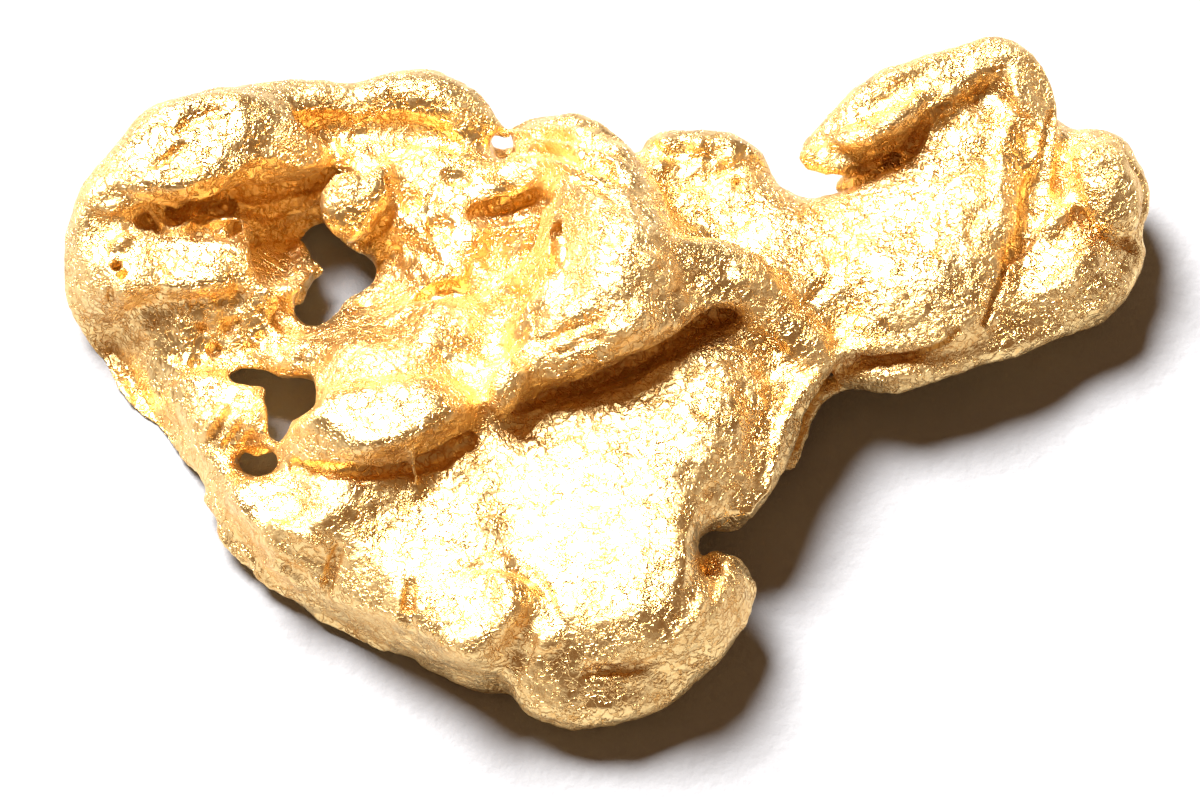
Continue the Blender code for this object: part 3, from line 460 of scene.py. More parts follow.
# Pits and hollows cut into the surface, by where they lie.
# Each is (right, up, lift), half sizes, turn, tilt.
HOLLOWS = {
    "bowl": [
        ((-3.48, 5.39, 0.05), (0.5, 0.25, 0.25), -15, 30),
        ((-3.84, 4.24, 0.05), (0.35, 0.45, 0.25), 0, 30),
        ((-5.16, 6.04, 0.05), (0.6, 0.25, 0.2), 0, 30),
        ((-4.56, 4.96, 0.05), (0.3, 0.5, 0.25), 20, 30),
        ((-5.64, 2.44, 0.05), (0.3, 0.3, 0.2), 0, 30),
        ((-4.99, 3.52, 0.05), (0.35, 0.3, 0.2), 0, 30),
        ((-3, 3.52, 0.05), (0.25, 0.4, 0.2), 0, 30),
    ],
    "bridge": [
        ((-9.48, 1.72, 0), (0.14, 0.16, 0.25), 0, 30),
        ((-9.24, 1.24, 0), (0.2, 0.16, 0.25), 0, 30),
        ((-8.64, 1.91, 0), (0.12, 0.14, 0.25), 0, 30),
        ((-9.07, 2.36, 0), (0.16, 0.12, 0.2), 0, 30),
        ((-8.4, 1.31, 0), (0.2, 0.12, 0.25), 0, 30),
        ((-7.56, 1.43, 0), (0.25, 0.16, 0.2), 0, 30),
        ((-7.2, 1, 0), (0.2, 0.12, 0.2), 0, 30),
        ((-9.7, 0.95, 0), (0.16, 0.25, 0.25), 0, 30),
    ],
    "left_end": [
        ((-11.57, 3.25, -0.1), (0.13, 0.15, 0.7), 0, 0),
        ((-11.45, 3.01, -0.1), (0.15, 0.1, 0.7), 30, 0),
        ((-11.69, 2.65, -0.1), (0.1, 0.2, 0.5), 0, 0),
    ],
    "bridge_pits": [
        ((-8.93, 1.81, 0), (0.16, 0.2, 0.4), 0, 0),
        ((-8.11, 1.57, 0), (0.16, 0.14, 0.3), 0, 0),
    ],
    "basin_cup": [
        ((-2.02, 3.92, -0.05), (1.1, 1.15, 0.6), 0, 30),
    ],
}

# Fine holes pierced along the line of sight: centre, half sizes, turn.
# They are close to the mesh's own fineness, and neither stays open in the finished body.
PINHOLES = {
    "saddle_pinhole": ((3.29, 5.22), (0.09, 0.15), 20),
    "bridge_hole": ((-8.11, 2.15), (0.15, 0.1), 20),
}

# Broad changes of the carved body, as the first ones.
LAST_SHIFTS = {
    "crest_front": ("swell", (6.84, 6.52), (1.56, 0.62), 38, 0.3),
    "left_side_pressed": ("press", (-11.28, -0.32), (3.36, 1.92), -58, 0.5),
    "left_side_lowered": ("lift", (-11.28, -0.32), (3.6, 1.92), -58, -0.3),
    "left_end_lowered": ("lift", (-12.19, 1.6), (2.16, 1.44), -60, -0.7),
    "bottom_low": ("press", (-6.48, -5.24), (5.28, 2.16), -30, 0.7),
    "toe_low": ("press", (0, -7.16), (3.84, 1.44), 10, 0.85),
    "plate_up": ("swell", (0.96, -2.84), (3.12, 3.6), 0, 0.25),
    "plate_down": ("swell", (-2.88, -2.84), (2.88, 2.88), 0, -0.15),
}

# Creases and rolls drawn on the seen surface: kind, half width, depth, line.
STROKES = [
    ("crease", 0.19, 0.16, [(-2.11, 6.61), (-1.2, 6.73), (-0.24, 6.56), (0.53, 6.23)]),
    ("roll", 0.17, 0.12, [(-2.02, 6.47), (-0.96, 6.59), (0, 6.35)]),
    ("crease", 0.19, 0.18, [(-2.11, 6.32), (-1.25, 6.42), (-0.36, 6.2), (0.48, 5.84)]),
    ("roll", 0.17, 0.12, [(-1.92, 6.13), (-1.08, 6.23), (-0.24, 5.99), (0.43, 5.65)]),
    ("crease", 0.22, 0.18, [(-2.28, 5.94), (-1.44, 6.04), (-0.72, 5.82), (0, 5.63), (0.62, 5.22)]),
    ("roll", 0.17, 0.1, [(-1.44, 5.8), (-0.6, 5.56), (0.1, 5.27)]),
    ("crease", 0.19, 0.14, [(-0.72, 5.41), (0, 5.08), (0.53, 4.6)]),
    ("crease", 0.22, 0.1, [(0.96, 6.28), (1.49, 6.04), (2.16, 5.8), (2.88, 5.84)]),
    ("crease", 0.22, 0.1, [(1.32, 5.36), (2.16, 5.2), (2.88, 5.32)]),
    ("crease", 0.29, 0.22, [(-1.44, 1.43), (-0.6, 1.76), (0.12, 2)]),
    ("crease", 0.24, 0.15, [(-3.48, -4.16), (-2.88, -3.85), (-1.92, -3.92), (-1.32, -4.4), (-1.08, -5.05)]),
    ("crease", 0.24, 0.12, [(-4.44, -4.09), (-4.56, -4.76), (-4.42, -5.63)]),
    ("crease", 0.22, 0.12, [(-6.1, -3.32), (-6.34, -3.8), (-6.48, -4.57)]),
    ("roll", 0.19, 0.1, [(-7.92, -2.84), (-7.2, -3.08), (-6.48, -3.44)]),
    ("roll", 0.19, 0.1, [(-8.28, -3.2), (-7.44, -3.56), (-6.72, -4.04)]),
    ("roll", 0.19, 0.1, [(-8.04, -3.76), (-7.44, -4.04), (-6.96, -4.52)]),
    ("roll", 0.17, 0.12, [(-8.76, -1.16), (-8.4, -0.68), (-8.04, -0.25)]),
    ("roll", 0.17, 0.12, [(-9.12, -1.07), (-8.78, -0.59), (-8.45, -0.16)]),
    ("roll", 0.17, 0.12, [(-9.48, -0.88), (-9.17, -0.44), (-8.88, -0.06)]),
    ("crease", 0.19, 0.12, [(-9.31, -1.02), (-8.98, -0.54), (-8.64, -0.11)]),
    ("crease", 0.19, 0.1, [(-10.44, 5.46), (-9.96, 5.51), (-9.53, 5.7)]),
    ("crease", 0.24, 0.1, [(-1.92, 6.52), (-0.96, 6.32), (0, 5.8), (0.84, 4.96), (1.32, 4)]),
    ("crease", 0.24, 0.1, [(-1.68, 6.04), (-0.72, 5.8), (0.12, 5.2), (0.72, 4.48)]),
    ("crease", 0.29, 0.12, [(3.6, 1.6), (3.96, 1.36), (4.37, 1.09)]),
    ("crease", 0.29, 0.12, [(-6.48, 6.4), (-6.36, 5.8), (-6.48, 5.2)]),
    ("crease", 0.29, 0.1, [(-4.8, 5.32), (-4.56, 4.72), (-4.08, 4.24)]),
    ("crease", 0.29, 0.1, [(-3.84, 5.32), (-4.08, 4.6), (-3.96, 3.64)]),
    ("crease", 0.34, 0.12, [(-4.92, 3.88), (-4.32, 3.64), (-3.84, 3.16)]),
    ("crease", 0.24, 0.1, [(-10.56, 3.35), (-10.46, 2.8), (-10.56, 2.44)]),
    ("crease", 0.29, 0.12, [(-9.07, 3.73), (-8.74, 3.16), (-8.64, 2.44)]),
    ("crease", 0.24, 0.12, [(9.6, 4.84), (9, 4.48), (8.88, 3.88), (9.24, 3.52)]),
    ("crease", 0.22, 0.1, [(5.28, 2.68), (5.52, 3.16), (5.4, 3.76)]),
    ("crease", 0.29, 0.12, [(3.84, 2.44), (4.56, 2.2), (5.16, 2.56), (5.52, 2.92)]),
]

# Round dents, or bumps where the depth is negative: right, up, radius, depth.
DENTS = [
    (1.2, 3.35, 0.34, -0.12), (1.63, 2.92, 0.34, -0.12), (2.16, 3.28, 0.34, -0.1),
    (0.96, 2.68, 0.29, 0.1), (1.44, 2.48, 0.29, 0.12), (2.52, 2.8, 0.29, -0.12), (3, 3.16, 0.29, 0.1),
    (3.36, 2.8, 0.29, -0.1), (0.29, 3.88, 0.34, 0.12), (0.67, 3.35, 0.29, -0.1),
    (2.93, 0.71, 0.34, -0.12), (3.41, 0.23, 0.34, 0.12), (3.24, -0.44, 0.34, -0.12),
    (3.65, -0.92, 0.34, 0.1), (2.93, -1.28, 0.34, 0.12), (1.56, 6.2, 0.29, -0.12),
    (1.97, 6.04, 0.26, 0.1), (2.4, 6.2, 0.29, -0.12), (2.78, 5.99, 0.26, 0.1), (3.17, 5.84, 0.29, -0.12),
    (2.4, 5.68, 0.26, -0.12), (1.92, 5.51, 0.29, 0.1), (1.49, 5.68, 0.26, -0.12), (2.93, 5.51, 0.26, 0.1),
    (3.48, 5.44, 0.29, -0.1), (-0.96, 1.36, 0.26, -0.1), (-0.48, 1.48, 0.26, 0.08), (0, 1.76, 0.26, -0.1),
    (0.53, 1.91, 0.26, 0.08), (0.96, 2.08, 0.26, -0.1), (1.44, 2.15, 0.24, 0.08),
    (-0.24, 1.19, 0.22, -0.08), (-1.44, 1.04, 0.24, -0.08), (-1.92, 0.88, 0.24, 0.08),
    (1.92, 2.44, 0.24, -0.1), (3.36, -1.84, 0.34, -0.12), (2.69, -2.12, 0.34, 0.1),
    (3.79, -0.08, 0.29, -0.1), (3.96, 0.64, 0.29, 0.12), (2.4, -0.2, 0.29, 0.08),
]


def put_away():
    """Leaves nothing selected."""
    for obj in bpy.context.selected_objects:
        obj.select_set(False)


def new_object(name, mesh):
    obj = bpy.data.objects.new(name, mesh)
    bpy.context.scene.collection.objects.link(obj)
    return obj


def evaluated_mesh(obj):
    bpy.context.view_layer.update()
    return bpy.data.meshes.new_from_object(obj.evaluated_get(bpy.context.evaluated_depsgraph_get()))


def apply_modifiers(obj):
    old = obj.data
    obj.data = evaluated_mesh(obj)
    obj.modifiers.clear()
    bpy.data.meshes.remove(old)


def add_remesh(obj, voxel):
    modifier = obj.modifiers.new("Remesh", "REMESH")
    modifier.mode = "VOXEL"
    modifier.voxel_size = voxel


def copied_solid():
    """A copy of the solid in millimetres, its facets rounded off."""
    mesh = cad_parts[NODE].data.copy()
    mesh.materials.clear()
    body = new_object("nugget", mesh)
    bm = bmesh.new()
    bm.from_mesh(mesh)
    bmesh.ops.remove_doubles(bm, verts=list(bm.verts), dist=1e-7)
    bm.transform(Matrix.Scale(1 / MM, 4))
    bm.to_mesh(mesh)
    bm.free()
    smooth = body.modifiers.new("Smooth out", "SUBSURF")
    smooth.levels = 2
    smooth.render_levels = 2
    add_remesh(body, FIRST_VOXEL)
    apply_modifiers(body)
    return body


def coordinates(mesh):
    flat = np.empty(len(mesh.vertices) * 3, np.float32)
    mesh.vertices.foreach_get("co", flat)
    return flat.reshape(-1, 3).astype(float)


def normals(mesh):
    flat = np.empty(len(mesh.vertices) * 3, np.float32)
    mesh.vertex_normals.foreach_get("vector", flat)
    return flat.reshape(-1, 3).astype(float)


def set_coordinates(mesh, co):
    mesh.vertices.foreach_set("co", co.astype(np.float32).ravel())
    mesh.update()


def tree_of(body):
    mesh = body.data
    return BVHTree.FromPolygons([v.co[:] for v in mesh.vertices], [f.vertices[:] for f in mesh.polygons])


def sketch_places(co):
    """Where points are seen on the sketch."""
    right = co[:, 0] - SKETCH_ORIGIN[0]
    up = (co[:, 1] - SKETCH_ORIGIN[1]) * SIN_TILT + co[:, 2] * COS_TILT
    return np.stack([right, up], axis=1)


def at_height(right, up, height):
    """The point that is seen at a place of the sketch and lies so high above the table."""
    y = (up - height * COS_TILT) / SIN_TILT
    return Vector((right + SKETCH_ORIGIN[0], y + SKETCH_ORIGIN[1], height))


def surface_at(tree, right, up):
    """The point of the surface that is seen at a place of the sketch, or None."""
    return tree.ray_cast(at_height(right, up, 0) + SIGHT * FAR_OFF, -SIGHT)[0]


def fade(places, centre, radii, turn):
    """1 in the middle of an oval of the sketch, softly falling to 0 at its edge."""
    angle = math.radians(turn)
    away = places - centre
    along = (away[:, 0] * math.cos(angle) + away[:, 1] * math.sin(angle)) / radii[0]
    across = (-away[:, 0] * math.sin(angle) + away[:, 1] * math.cos(angle)) / radii[1]
    return np.clip(1 - along * along - across * across, 0, 1) ** 2


def smooth_path(points, steps):
    """Points of a smooth line through the given ones."""
    points = np.array(points, float)
    last = len(points) - 1
    path = []
    for i in range(last):
        before, start, end, after = points[max(i - 1, 0)], points[i], points[i + 1], points[min(i + 2, last)]
        slope = end - before
        for t in np.arange(steps) / steps:
            cubic = 3 * (start - end) + after - before
            square = 2 * before - 5 * start + 4 * end - after
            path.append(start + 0.5 * t * (slope + t * (square + t * cubic)))
    path.append(points[-1])
    return np.array(path)


def path_distance(places, line):
    """How far places are from a line, and how far along it, from 0 to 1, the nearest point is."""
    best = np.full(len(places), 1e9)
    along = np.zeros(len(places))
    runs = np.diff(line, axis=0)
    lengths = np.linalg.norm(runs, axis=1)
    gone = 0.0
    for start, run, length in zip(line[:-1], runs, lengths):
        away = places - start
        t = np.clip(away @ run / (length * length), 0, 1)
        far = np.linalg.norm(away - t[:, None] * run, axis=1)
        nearer = far < best
        best[nearer] = far[nearer]
        along[nearer] = (gone + t[nearer] * length) / lengths.sum()
        gone += length
    return best, along


def in_sight(body, co, facing):
    """True where the surface faces the sketch and nothing lies before it."""
    tree = tree_of(body)
    outward = normals(body.data)
    seen = facing > EDGE_ON
    for i in np.nonzero(seen)[0]:
        start = Vector(co[i]) + Vector(outward[i]) * SKIN
        if tree.ray_cast(start, SIGHT)[0] is not None:
            seen[i] = False
    return seen


def shift(body, table):
    """Broad swells, lifts and presses along the line of sight, and grabs across it."""
    co = coordinates(body.data)
    places = sketch_places(co)
    for kind, centre, radii, turn, amount in table.values():
        t = fade(places, centre, radii, turn)
        z = co[:, 2]
        if kind == "grab":
            co[:, 0] += amount[0] * t
            co[:, 1] += amount[1] / SIN_TILT * t
            places = sketch_places(co)
            continue
        if kind == "press":
            move = (amount - 1) * z / SIN_TILT * t
        elif kind == "lift":
            move = amount * t * np.clip((z - LIFT_START) / LIFT_EASE, 0, 1)
        else:
            move = amount * t * np.clip(z - SWELL_START, 0, 1)
        co += np.array(SIGHT) * move[:, None]
    co[:, 2] = np.maximum(co[:, 2], 0)
    set_coordinates(body.data, co)


def slope_walls(body):
    """Leans the outer walls: no higher than a wavy slope that starts at the outline."""
    co = coordinates(body.data)
    places = sketch_places(co)
    for reach, foot, rise, points in WALLS.values():
        far, along = path_distance(places, smooth_path(points, WALL_STEPS))
        ends = np.clip(np.minimum(along, 1 - along) * WALL_END_EASE, 0, 1)
        wave_right = WALL_WAVE_START[0] + places[:, 0] / WALL_WAVE
        wave_up = WALL_WAVE_START[1] - places[:, 1] / WALL_WAVE
        waves = np.array([noise.noise((right, up, 0)) for right, up in zip(wave_right, wave_up)])
        top = foot + rise * far * (1 + WALL_WAVE_SHARE * waves)
        over = np.clip(co[:, 2] - top, 0, None) * np.clip((reach - far) / WALL_EASE, 0, 1) * ends
        co -= np.array(SIGHT) * (over / SIN_TILT)[:, None]
    set_coordinates(body.data, co)


def flatten(body):
    """Eases the seen surface towards level or leaning planes."""
    co = coordinates(body.data)
    places = sketch_places(co)
    facing = normals(body.data) @ np.array(SIGHT)
    share = np.clip(facing / FLAT_FACING, 0, 1) * in_sight(body, co, facing)
    for centre, radii, turn, height, rise_right, rise_up in LEVELS:
        pull = FLAT_STRENGTH * fade(places, centre, radii, turn) ** FLAT_SOFTNESS
        t = np.clip(pull, 0, FLAT_MOST) * share
        away = places - centre
        gap = height + rise_right * away[:, 0] + rise_up * away[:, 1] - co[:, 2]
        co += np.array(SIGHT) * (np.clip(gap, -FLAT_REACH, FLAT_REACH) * t / SIN_TILT)[:, None]
    set_coordinates(body.data, co)


def add_ball(bm, centre, radii, turn=0, tilt=0):
    where = Matrix.Translation(centre) @ Matrix.Rotation(math.radians(turn), 4, "Z")
    where = where @ Matrix.Rotation(math.radians(tilt), 4, "X") @ Matrix.Diagonal((*radii, 1))
    bmesh.ops.create_icosphere(bm, subdivisions=BALL_FINENESS, radius=1, matrix=where)


def add_roll(bm, points):
    """Round roll of metal along points given as (x, y, z, radius)."""
    path = smooth_path(points, ROLL_STEPS)
    curve = bpy.data.curves.new("roll", "CURVE")
    curve.dimensions = "3D"
    curve.bevel_depth = 1
    curve.bevel_resolution = 3
    curve.use_fill_caps = True
    line = curve.splines.new("POLY")
    line.points.add(len(path) - 1)
    for point, (x, y, z, radius) in zip(line.points, path):
        point.co = (x, y, z, 1)
        point.radius = radius
    roll = bpy.data.objects.new("roll", curve)
    bpy.context.scene.collection.objects.link(roll)
    bm.from_mesh(evaluated_mesh(roll))
    bpy.data.objects.remove(roll)
    for x, y, z, radius in (path[0], path[-1]):
        add_ball(bm, (x, y, z), (radius, radius, radius))


def lay_roll(bm, tree, stations):
    """Roll laid on the surface: (right, up, lift, radius), or (right, up, back, down, radius)."""
    points = []
    for right, up, *offset, radius in stations:
        seat = surface_at(tree, right, up)
        if seat is None:
            continue
        if len(offset) == 1:
            seat = seat + SIGHT * offset[0]
        else:
            seat = seat + Vector((0, offset[0], -offset[1]))
        points.append((*seat, radius))
    if len(points) > 1:
        add_roll(bm, points)


def lay_balls(bm, tree, balls):
    """Balls set on the surface: (right, up, lift), half sizes, turn, tilt."""
    for (right, up, lift), radii, turn, tilt in balls:
        seat = surface_at(tree, right, up)
        if seat is not None:
            add_ball(bm, seat + SIGHT * lift, radii, turn, tilt)


def wander(bm, start, amount):
    """Wanders the vertices from a given one on, so that no added or cut shape stays plain."""
    bm.verts.ensure_lookup_table()
    for vert in bm.verts[start:]:
        broad = noise.noise_vector(vert.co / BROAD_WAVE) * amount
        vert.co += broad + noise.noise_vector(vert.co / FINE_WAVE) * (FINE_WAVE_SHARE * amount)


def remeshed(name, bm, voxel):
    """The shapes of a bmesh made into one closed object."""
    mesh = bpy.data.meshes.new(name)
    bm.to_mesh(mesh)
    bm.free()
    made = new_object(name, mesh)
    add_remesh(made, voxel)
    apply_modifiers(made)
    return made


def add_forms(body):
    """Builds up the rolls, lumps and bridges."""
    tree = tree_of(body)
    bm = bmesh.new()
    for stations in ROLLS.values():
        lay_roll(bm, tree, stations)
    for stations in BRIDGES.values():
        add_roll(bm, [(*at_height(right, up, height), radius) for right, up, height, radius in stations])
    lay_balls(bm, tree, LUMPS.values())
    forms = remeshed("forms", bm, ADDED_VOXEL)
    bm = bmesh.new()
    bm.from_mesh(body.data)
    start = len(bm.verts)
    bm.from_mesh(forms.data)
    wander(bm, start, FORM_WANDER)
    bm.to_mesh(body.data)
    bm.free()
    bpy.data.objects.remove(forms)
    add_remesh(body, FORM_VOXEL)
    apply_modifiers(body)


def cut_caves(body):
    """Cuts the caves, creases and pits, and pierces the fine holes."""
    tree = tree_of(body)
    bm = bmesh.new()
    for stations in CAVES.values():
        lay_roll(bm, tree, stations)
    for balls in HOLLOWS.values():
        lay_balls(bm, tree, balls)
    for (right, up), (half_right, half_up), turn in PINHOLES.values():
        where = Matrix.Translation(at_height(right, up, 0) + SIGHT * PIERCE_HEIGHT)
        where = where @ Matrix.Rotation(PIERCE_LEAN, 4, "X")
        where = where @ Matrix.Rotation(math.radians(turn), 4, "Z")
        where = where @ Matrix.Diagonal((half_right, half_up, 1, 1))
        bmesh.ops.create_cone(
            bm,
            segments=PIERCE_SIDES,
            radius1=1,
            radius2=1,
            depth=PIERCE_LENGTH,
            cap_ends=True,
            matrix=where,
        )
    cutter = remeshed("cutter", bm, CUTTER_VOXEL)
    bm = bmesh.new()
    bm.from_mesh(cutter.data)
    wander(bm, 0, CUT_WANDER)
    bm.to_mesh(cutter.data)
    bm.free()
    cut = body.modifiers.new("Cut", "BOOLEAN")
    cut.operation = "DIFFERENCE"
    cut.solver = "MANIFOLD"
    cut.object = cutter
    add_remesh(body, FINE_VOXEL)
    apply_modifiers(body)
    bpy.data.objects.remove(cutter)


def carve(body):
    """Creases, rolls and dents drawn on the seen surface."""
    co = coordinates(body.data)
    outward = normals(body.data)
    seen = in_sight(body, co, outward @ np.array(SIGHT))
    places = sketch_places(co)
    lift = np.zeros(len(co))
    for kind, width, depth, points in STROKES:
        line = smooth_path(points, STROKE_STEPS)
        near = seen & (places > line.min(0) - width).all(1) & (places < line.max(0) + width).all(1)
        index = np.nonzero(near)[0]
        far, along = path_distance(places[index], line)
        ends = np.clip(np.minimum(along, 1 - along) * STROKE_END_EASE + STROKE_END_SHARE, 0, 1)
        t = np.clip(far / width, 0, 1)
        if kind == "crease":
            lift[index] -= depth * ends * (1 - t) ** CREASE_SHARPNESS
        else:
            lift[index] += depth * ends * (1 - t * t) ** 2
    for right, up, radius, depth in DENTS:
        t = np.clip(np.linalg.norm(places - (right, up), axis=1) / radius, 0, 1)
        lift[seen] -= (depth * (1 - t * t) ** 2)[seen]
    set_coordinates(body.data, co + outward * lift[:, None])


def drop_crumbs(body):
    """Keeps the one large shell and removes any crumbs the cuts left loose."""
    put_away()
    body.select_set(True)
    bpy.context.view_layer.objects.active = body
    bpy.ops.mesh.separate(type="LOOSE")
    shells = sorted(bpy.context.selected_objects, key=lambda shell: len(shell.data.vertices))
    for crumb in shells[:-1]:
        bpy.data.objects.remove(crumb)
    put_away()
    return shells[-1]


def crumple(body):
    """Ridged foil and small dents over the whole body."""
    co = coordinates(body.data)
    lift = np.zeros(len(co))
    for i, point in enumerate(co):
        place = Vector(point)
        bend = noise.noise_vector(place / CRUMPLE_BEND_SIZE) * CRUMPLE_BEND
        ridged = noise.ridged_multi_fractal((place + bend) / CRUMPLE_SIZE, *RIDGES)
        dents = noise.fractal(place / DENT_SIZE, *DENT_OCTAVES)
        lift[i] = CRUMPLE_DEPTH * (ridged - CRUMPLE_MIDDLE) + DENT_DEPTH * dents
    set_coordinates(body.data, co + normals(body.data) * lift[:, None])


def finish_body(body):
    """Thins the mesh, brings it to metres inside the solid's own box, and gives it its gold."""
    triangles = sum(len(face.vertices) - 2 for face in body.data.polygons)
    if triangles > TRIANGLE_LIMIT:
        thin = body.modifiers.new("Thin", "DECIMATE")
        thin.ratio = TRIANGLE_LIMIT / triangles
        apply_modifiers(body)
    mesh = body.data
    low, high = [np.array(corner) / MM for corner in cad_box]
    set_coordinates(mesh, np.clip(coordinates(mesh), low, high) * MM)
    mesh.materials.clear()
    mesh.materials.append(gold_material())
    mesh.polygons.foreach_set("material_index", np.zeros(len(mesh.polygons), np.int32))
    mesh.shade_smooth()


def node_group(name, inputs, outputs):
    """Empty shader group with its sockets, and its two end nodes."""
    group = bpy.data.node_groups.new(name, "ShaderNodeTree")
    for socket, kind in inputs:
        group.interface.new_socket(name=socket, in_out="INPUT", socket_type=kind)
    for socket, kind in outputs:
        group.interface.new_socket(name=socket, in_out="OUTPUT", socket_type=kind)
    return group, group.nodes.new("NodeGroupInput"), group.nodes.new("NodeGroupOutput")


def noise_node(tree, vector, scale, detail, roughness):
    node = tree.nodes.new("ShaderNodeTexNoise")
    node.inputs["Scale"].default_value = scale
    node.inputs["Detail"].default_value = detail
    node.inputs["Roughness"].default_value = roughness
    tree.links.new(vector, node.inputs["Vector"])
    return node.outputs["Fac"]


def math_node(tree, operation, *values):
    node = tree.nodes.new("ShaderNodeMath")
    node.operation = operation
    for socket, value in zip(node.inputs, values):
        if isinstance(value, (int, float)):
            socket.default_value = value
        else:
            tree.links.new(value, socket)
    return node.outputs[0]


def range_node(tree, value, low, high, to_low=0.0, to_high=1.0, kind="SMOOTHSTEP"):
    node = tree.nodes.new("ShaderNodeMapRange")
    node.interpolation_type = kind
    for socket, number in zip(("From Min", "From Max", "To Min", "To Max"), (low, high, to_low, to_high)):
        node.inputs[socket].default_value = number
    tree.links.new(value, node.inputs["Value"])
    return node.outputs["Result"]


def bent_vector(tree, vector, scale, amount):
    """The place, wandered by noise, so that no pattern stays regular."""
    bend = tree.nodes.new("ShaderNodeTexNoise")
    bend.inputs["Scale"].default_value = scale
    bend.inputs["Detail"].default_value = 2
    tree.links.new(vector, bend.inputs["Vector"])
    move = tree.nodes.new("ShaderNodeVectorMath")
    move.operation = "MULTIPLY_ADD"
    move.inputs[1].default_value = (amount, amount, amount)
    tree.links.new(bend.outputs["Color"], move.inputs[0])
    tree.links.new(vector, move.inputs[2])
    return move.outputs[0]


def line_mask(tree, field, middle, width, strength):
    """Thin lines where a noise field passes its middle value."""
    away = math_node(tree, "ABSOLUTE", math_node(tree, "SUBTRACT", field, middle))
    return range_node(tree, away, 0.0, width, strength, 0.0)


def relief_group():
    """Height, in metres, of the fine relief, and masks of its wrinkles, patches and specks."""
    group, start, end = node_group(
        "gold_relief",
        (("Vector", "NodeSocketVector"),),
        (
            ("Height", "NodeSocketFloat"),
            ("Wrinkles", "NodeSocketFloat"),
            ("Patches", "NodeSocketFloat"),
            ("Specks", "NodeSocketFloat"),
        ),
    )
    vector = start.outputs["Vector"]
    bent = bent_vector(group, vector, BEND_SCALE, BEND_AMOUNT)
    patches = range_node(group, noise_node(group, vector, *PATCH_NOISE), *PATCH_RANGE)
    pebbles = noise_node(group, vector, *PEBBLE_NOISE)
    grain = noise_node(group, vector, *GRAIN_NOISE)
    foil = noise_node(group, bent, *FOIL_NOISE)
    broad = line_mask(group, foil, *BROAD_LINES)
    narrow = line_mask(group, noise_node(group, bent, *NARROW_NOISE), *NARROW_LINES)
    gaps = range_node(group, noise_node(group, vector, *GAP_NOISE), *GAP_RANGE)
    wrinkles = math_node(group, "MULTIPLY", math_node(group, "MAXIMUM", broad, narrow), gaps)
    threads = line_mask(group, noise_node(group, bent, *THREAD_NOISE), *THREAD_LINES)
    wrinkles = math_node(group, "MAXIMUM", wrinkles, threads)
    strength = range_node(group, patches, 0.0, 1.0, *BUMP_SHARES, "LINEAR")
    bumps = math_node(group, "MULTIPLY", pebbles, PEBBLE_HEIGHT)
    bumps = math_node(group, "ADD", bumps, math_node(group, "MULTIPLY", grain, GRAIN_HEIGHT))
    height = math_node(group, "MULTIPLY", bumps, strength)
    height = math_node(group, "ADD", height, math_node(group, "MULTIPLY", foil, FOIL_HEIGHT))
    height = math_node(group, "SUBTRACT", height, math_node(group, "MULTIPLY", wrinkles, WRINKLE_DEPTH))
    place = group.nodes.new("ShaderNodeSeparateXYZ")
    group.links.new(vector, place.inputs["Vector"])
    wear = range_node(group, place.outputs["Y"], *WORN_FRONT, WORN_SHARE, 1.0)
    height = math_node(group, "MULTIPLY", height, wear)
    specks = range_node(group, noise_node(group, vector, *SPECK_NOISE), *SPECK_RANGE)
    group.links.new(height, end.inputs["Height"])
    group.links.new(wrinkles, end.inputs["Wrinkles"])
    group.links.new(patches, end.inputs["Patches"])
    group.links.new(specks, end.inputs["Specks"])
    return group


def gold_material():
    material = bpy.data.materials.new("native_gold")
    material.use_nodes = True
    tree = material.node_tree
    shader = tree.nodes["Principled BSDF"]
    shader.inputs["Metallic"].default_value = 1
    relief = tree.nodes.new("ShaderNodeGroup")
    relief.node_tree = relief_group()
    tree.links.new(tree.nodes.new("ShaderNodeTexCoord").outputs["Object"], relief.inputs["Vector"])
    # Painted shade in the wrinkles: their mask mixes the gold towards a darker colour, and random specks mix
    # in some of it too.
    shade_and_specks = tree.nodes.new("ShaderNodeMix")
    shade_and_specks.data_type = "RGBA"
    shade_and_specks.inputs["A"].default_value = (*GOLD_COLOUR, 1)
    shade_and_specks.inputs["B"].default_value = (*WRINKLE_SHADE_AND_SPECK_COLOUR, 1)
    wrinkles = math_node(tree, "MULTIPLY", relief.outputs["Wrinkles"], WRINKLE_SHADE_STRENGTH)
    specks = math_node(tree, "MULTIPLY", relief.outputs["Specks"], SPECK_TINT)
    tree.links.new(math_node(tree, "MAXIMUM", wrinkles, specks), shade_and_specks.inputs["Factor"])
    tree.links.new(shade_and_specks.outputs["Result"], shader.inputs["Base Color"])
    roughness = range_node(tree, relief.outputs["Patches"], 0.0, 1.0, *ROUGHNESS)
    tree.links.new(roughness, shader.inputs["Roughness"])
    bump = tree.nodes.new("ShaderNodeBump")
    bump.inputs["Distance"].default_value = 1.0
    tree.links.new(relief.outputs["Height"], bump.inputs["Height"])
    tree.links.new(bump.outputs["Normal"], shader.inputs["Normal"])
    return material


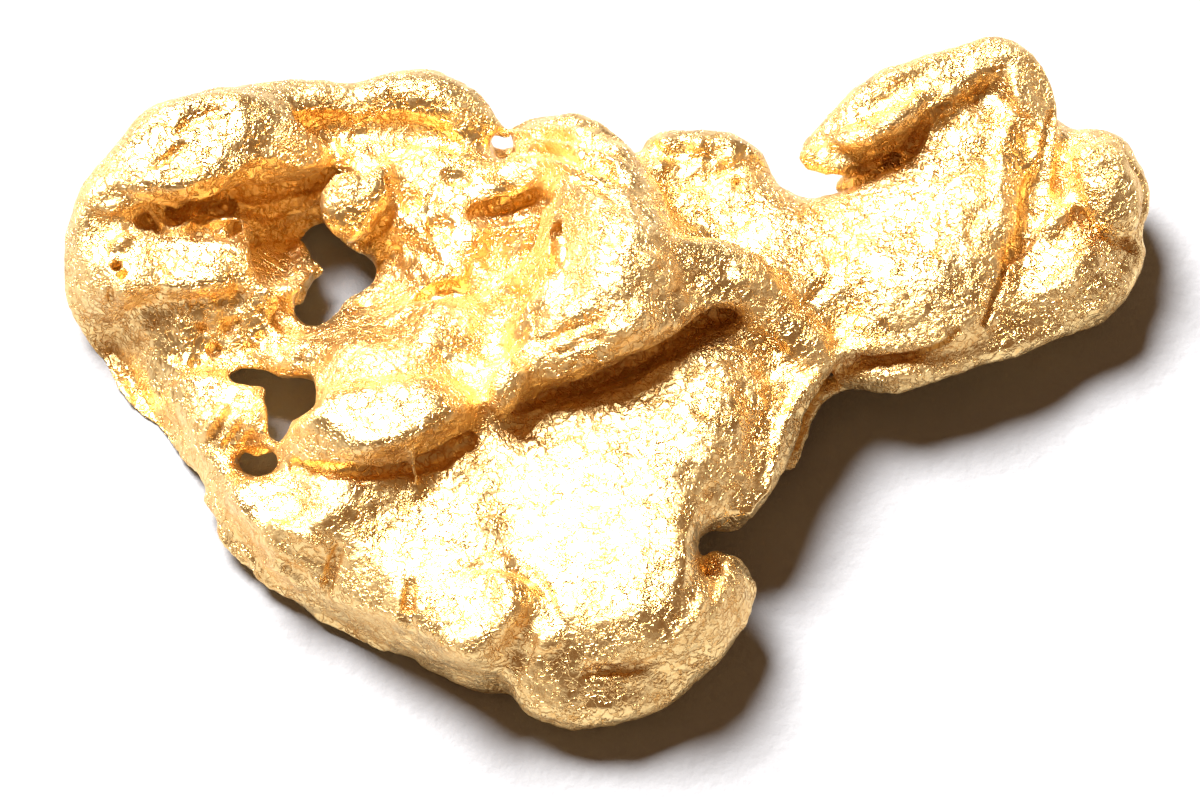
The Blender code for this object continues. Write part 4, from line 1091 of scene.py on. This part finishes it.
def paper_material():
    material = bpy.data.materials.new("paper")
    material.use_nodes = True
    tree = material.node_tree
    shader = tree.nodes["Principled BSDF"]
    shader.inputs["Base Color"].default_value = (*PAPER_COLOUR, 1)
    shader.inputs["Roughness"].default_value = PAPER_ROUGHNESS
    shader.inputs["Specular IOR Level"].default_value = PAPER_SHINE
    fibres = noise_node(tree, tree.nodes.new("ShaderNodeTexCoord").outputs["Object"], *FIBRE_NOISE)
    bump = tree.nodes.new("ShaderNodeBump")
    bump.inputs["Distance"].default_value = 1.0
    tree.links.new(math_node(tree, "MULTIPLY", fibres, PAPER_GRAIN), bump.inputs["Height"])
    tree.links.new(bump.outputs["Normal"], shader.inputs["Normal"])
    return material


def lay_floor():
    bpy.ops.mesh.primitive_plane_add(size=PAPER_SIZE, location=(0, 0, 0))
    floor = bpy.context.object
    floor.name = "floor"
    floor.data.materials.append(paper_material())
    put_away()


def light_studio():
    scene = bpy.context.scene
    world = bpy.data.worlds.new("room")
    world.use_nodes = True
    world.node_tree.nodes["Background"].inputs["Color"].default_value = (*ROOM_COLOUR, 1)
    scene.world = world
    light = bpy.data.lights.new("key", "SUN")
    light.energy = KEY_STRENGTH
    light.angle = math.radians(KEY_SPREAD)
    key = new_object("key", light)
    key.rotation_mode = "QUATERNION"
    key.rotation_quaternion = Vector(KEY_DIRECTION).normalized().to_track_quat("Z", "Y")


def place_camera():
    scene = bpy.context.scene
    lens = bpy.data.cameras.new("camera")
    lens.lens = LENS
    lens.sensor_width = SENSOR_WIDTH
    lens.clip_start = NEAR_LIMIT
    lens.clip_end = FAR_LIMIT
    camera = new_object("camera", lens)
    distance = PICTURE_WIDTH * MM * LENS / SENSOR_WIDTH
    camera.location = Vector((*SKETCH_ORIGIN, 0)) * MM + SIGHT * distance
    camera.rotation_mode = "QUATERNION"
    camera.rotation_quaternion = (-SIGHT).to_track_quat("-Z", "Y")
    scene.camera = camera
    scene.view_settings.view_transform = "Standard"


put_away()
nugget = copied_solid()
shift(nugget, FIRST_SHIFTS)
slope_walls(nugget)
flatten(nugget)
add_forms(nugget)
cut_caves(nugget)
shift(nugget, LAST_SHIFTS)
carve(nugget)
nugget = drop_crumbs(nugget)
crumple(nugget)
finish_body(nugget)
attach(nugget, "root")
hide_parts(NODE)
lay_floor()
light_studio()
place_camera()
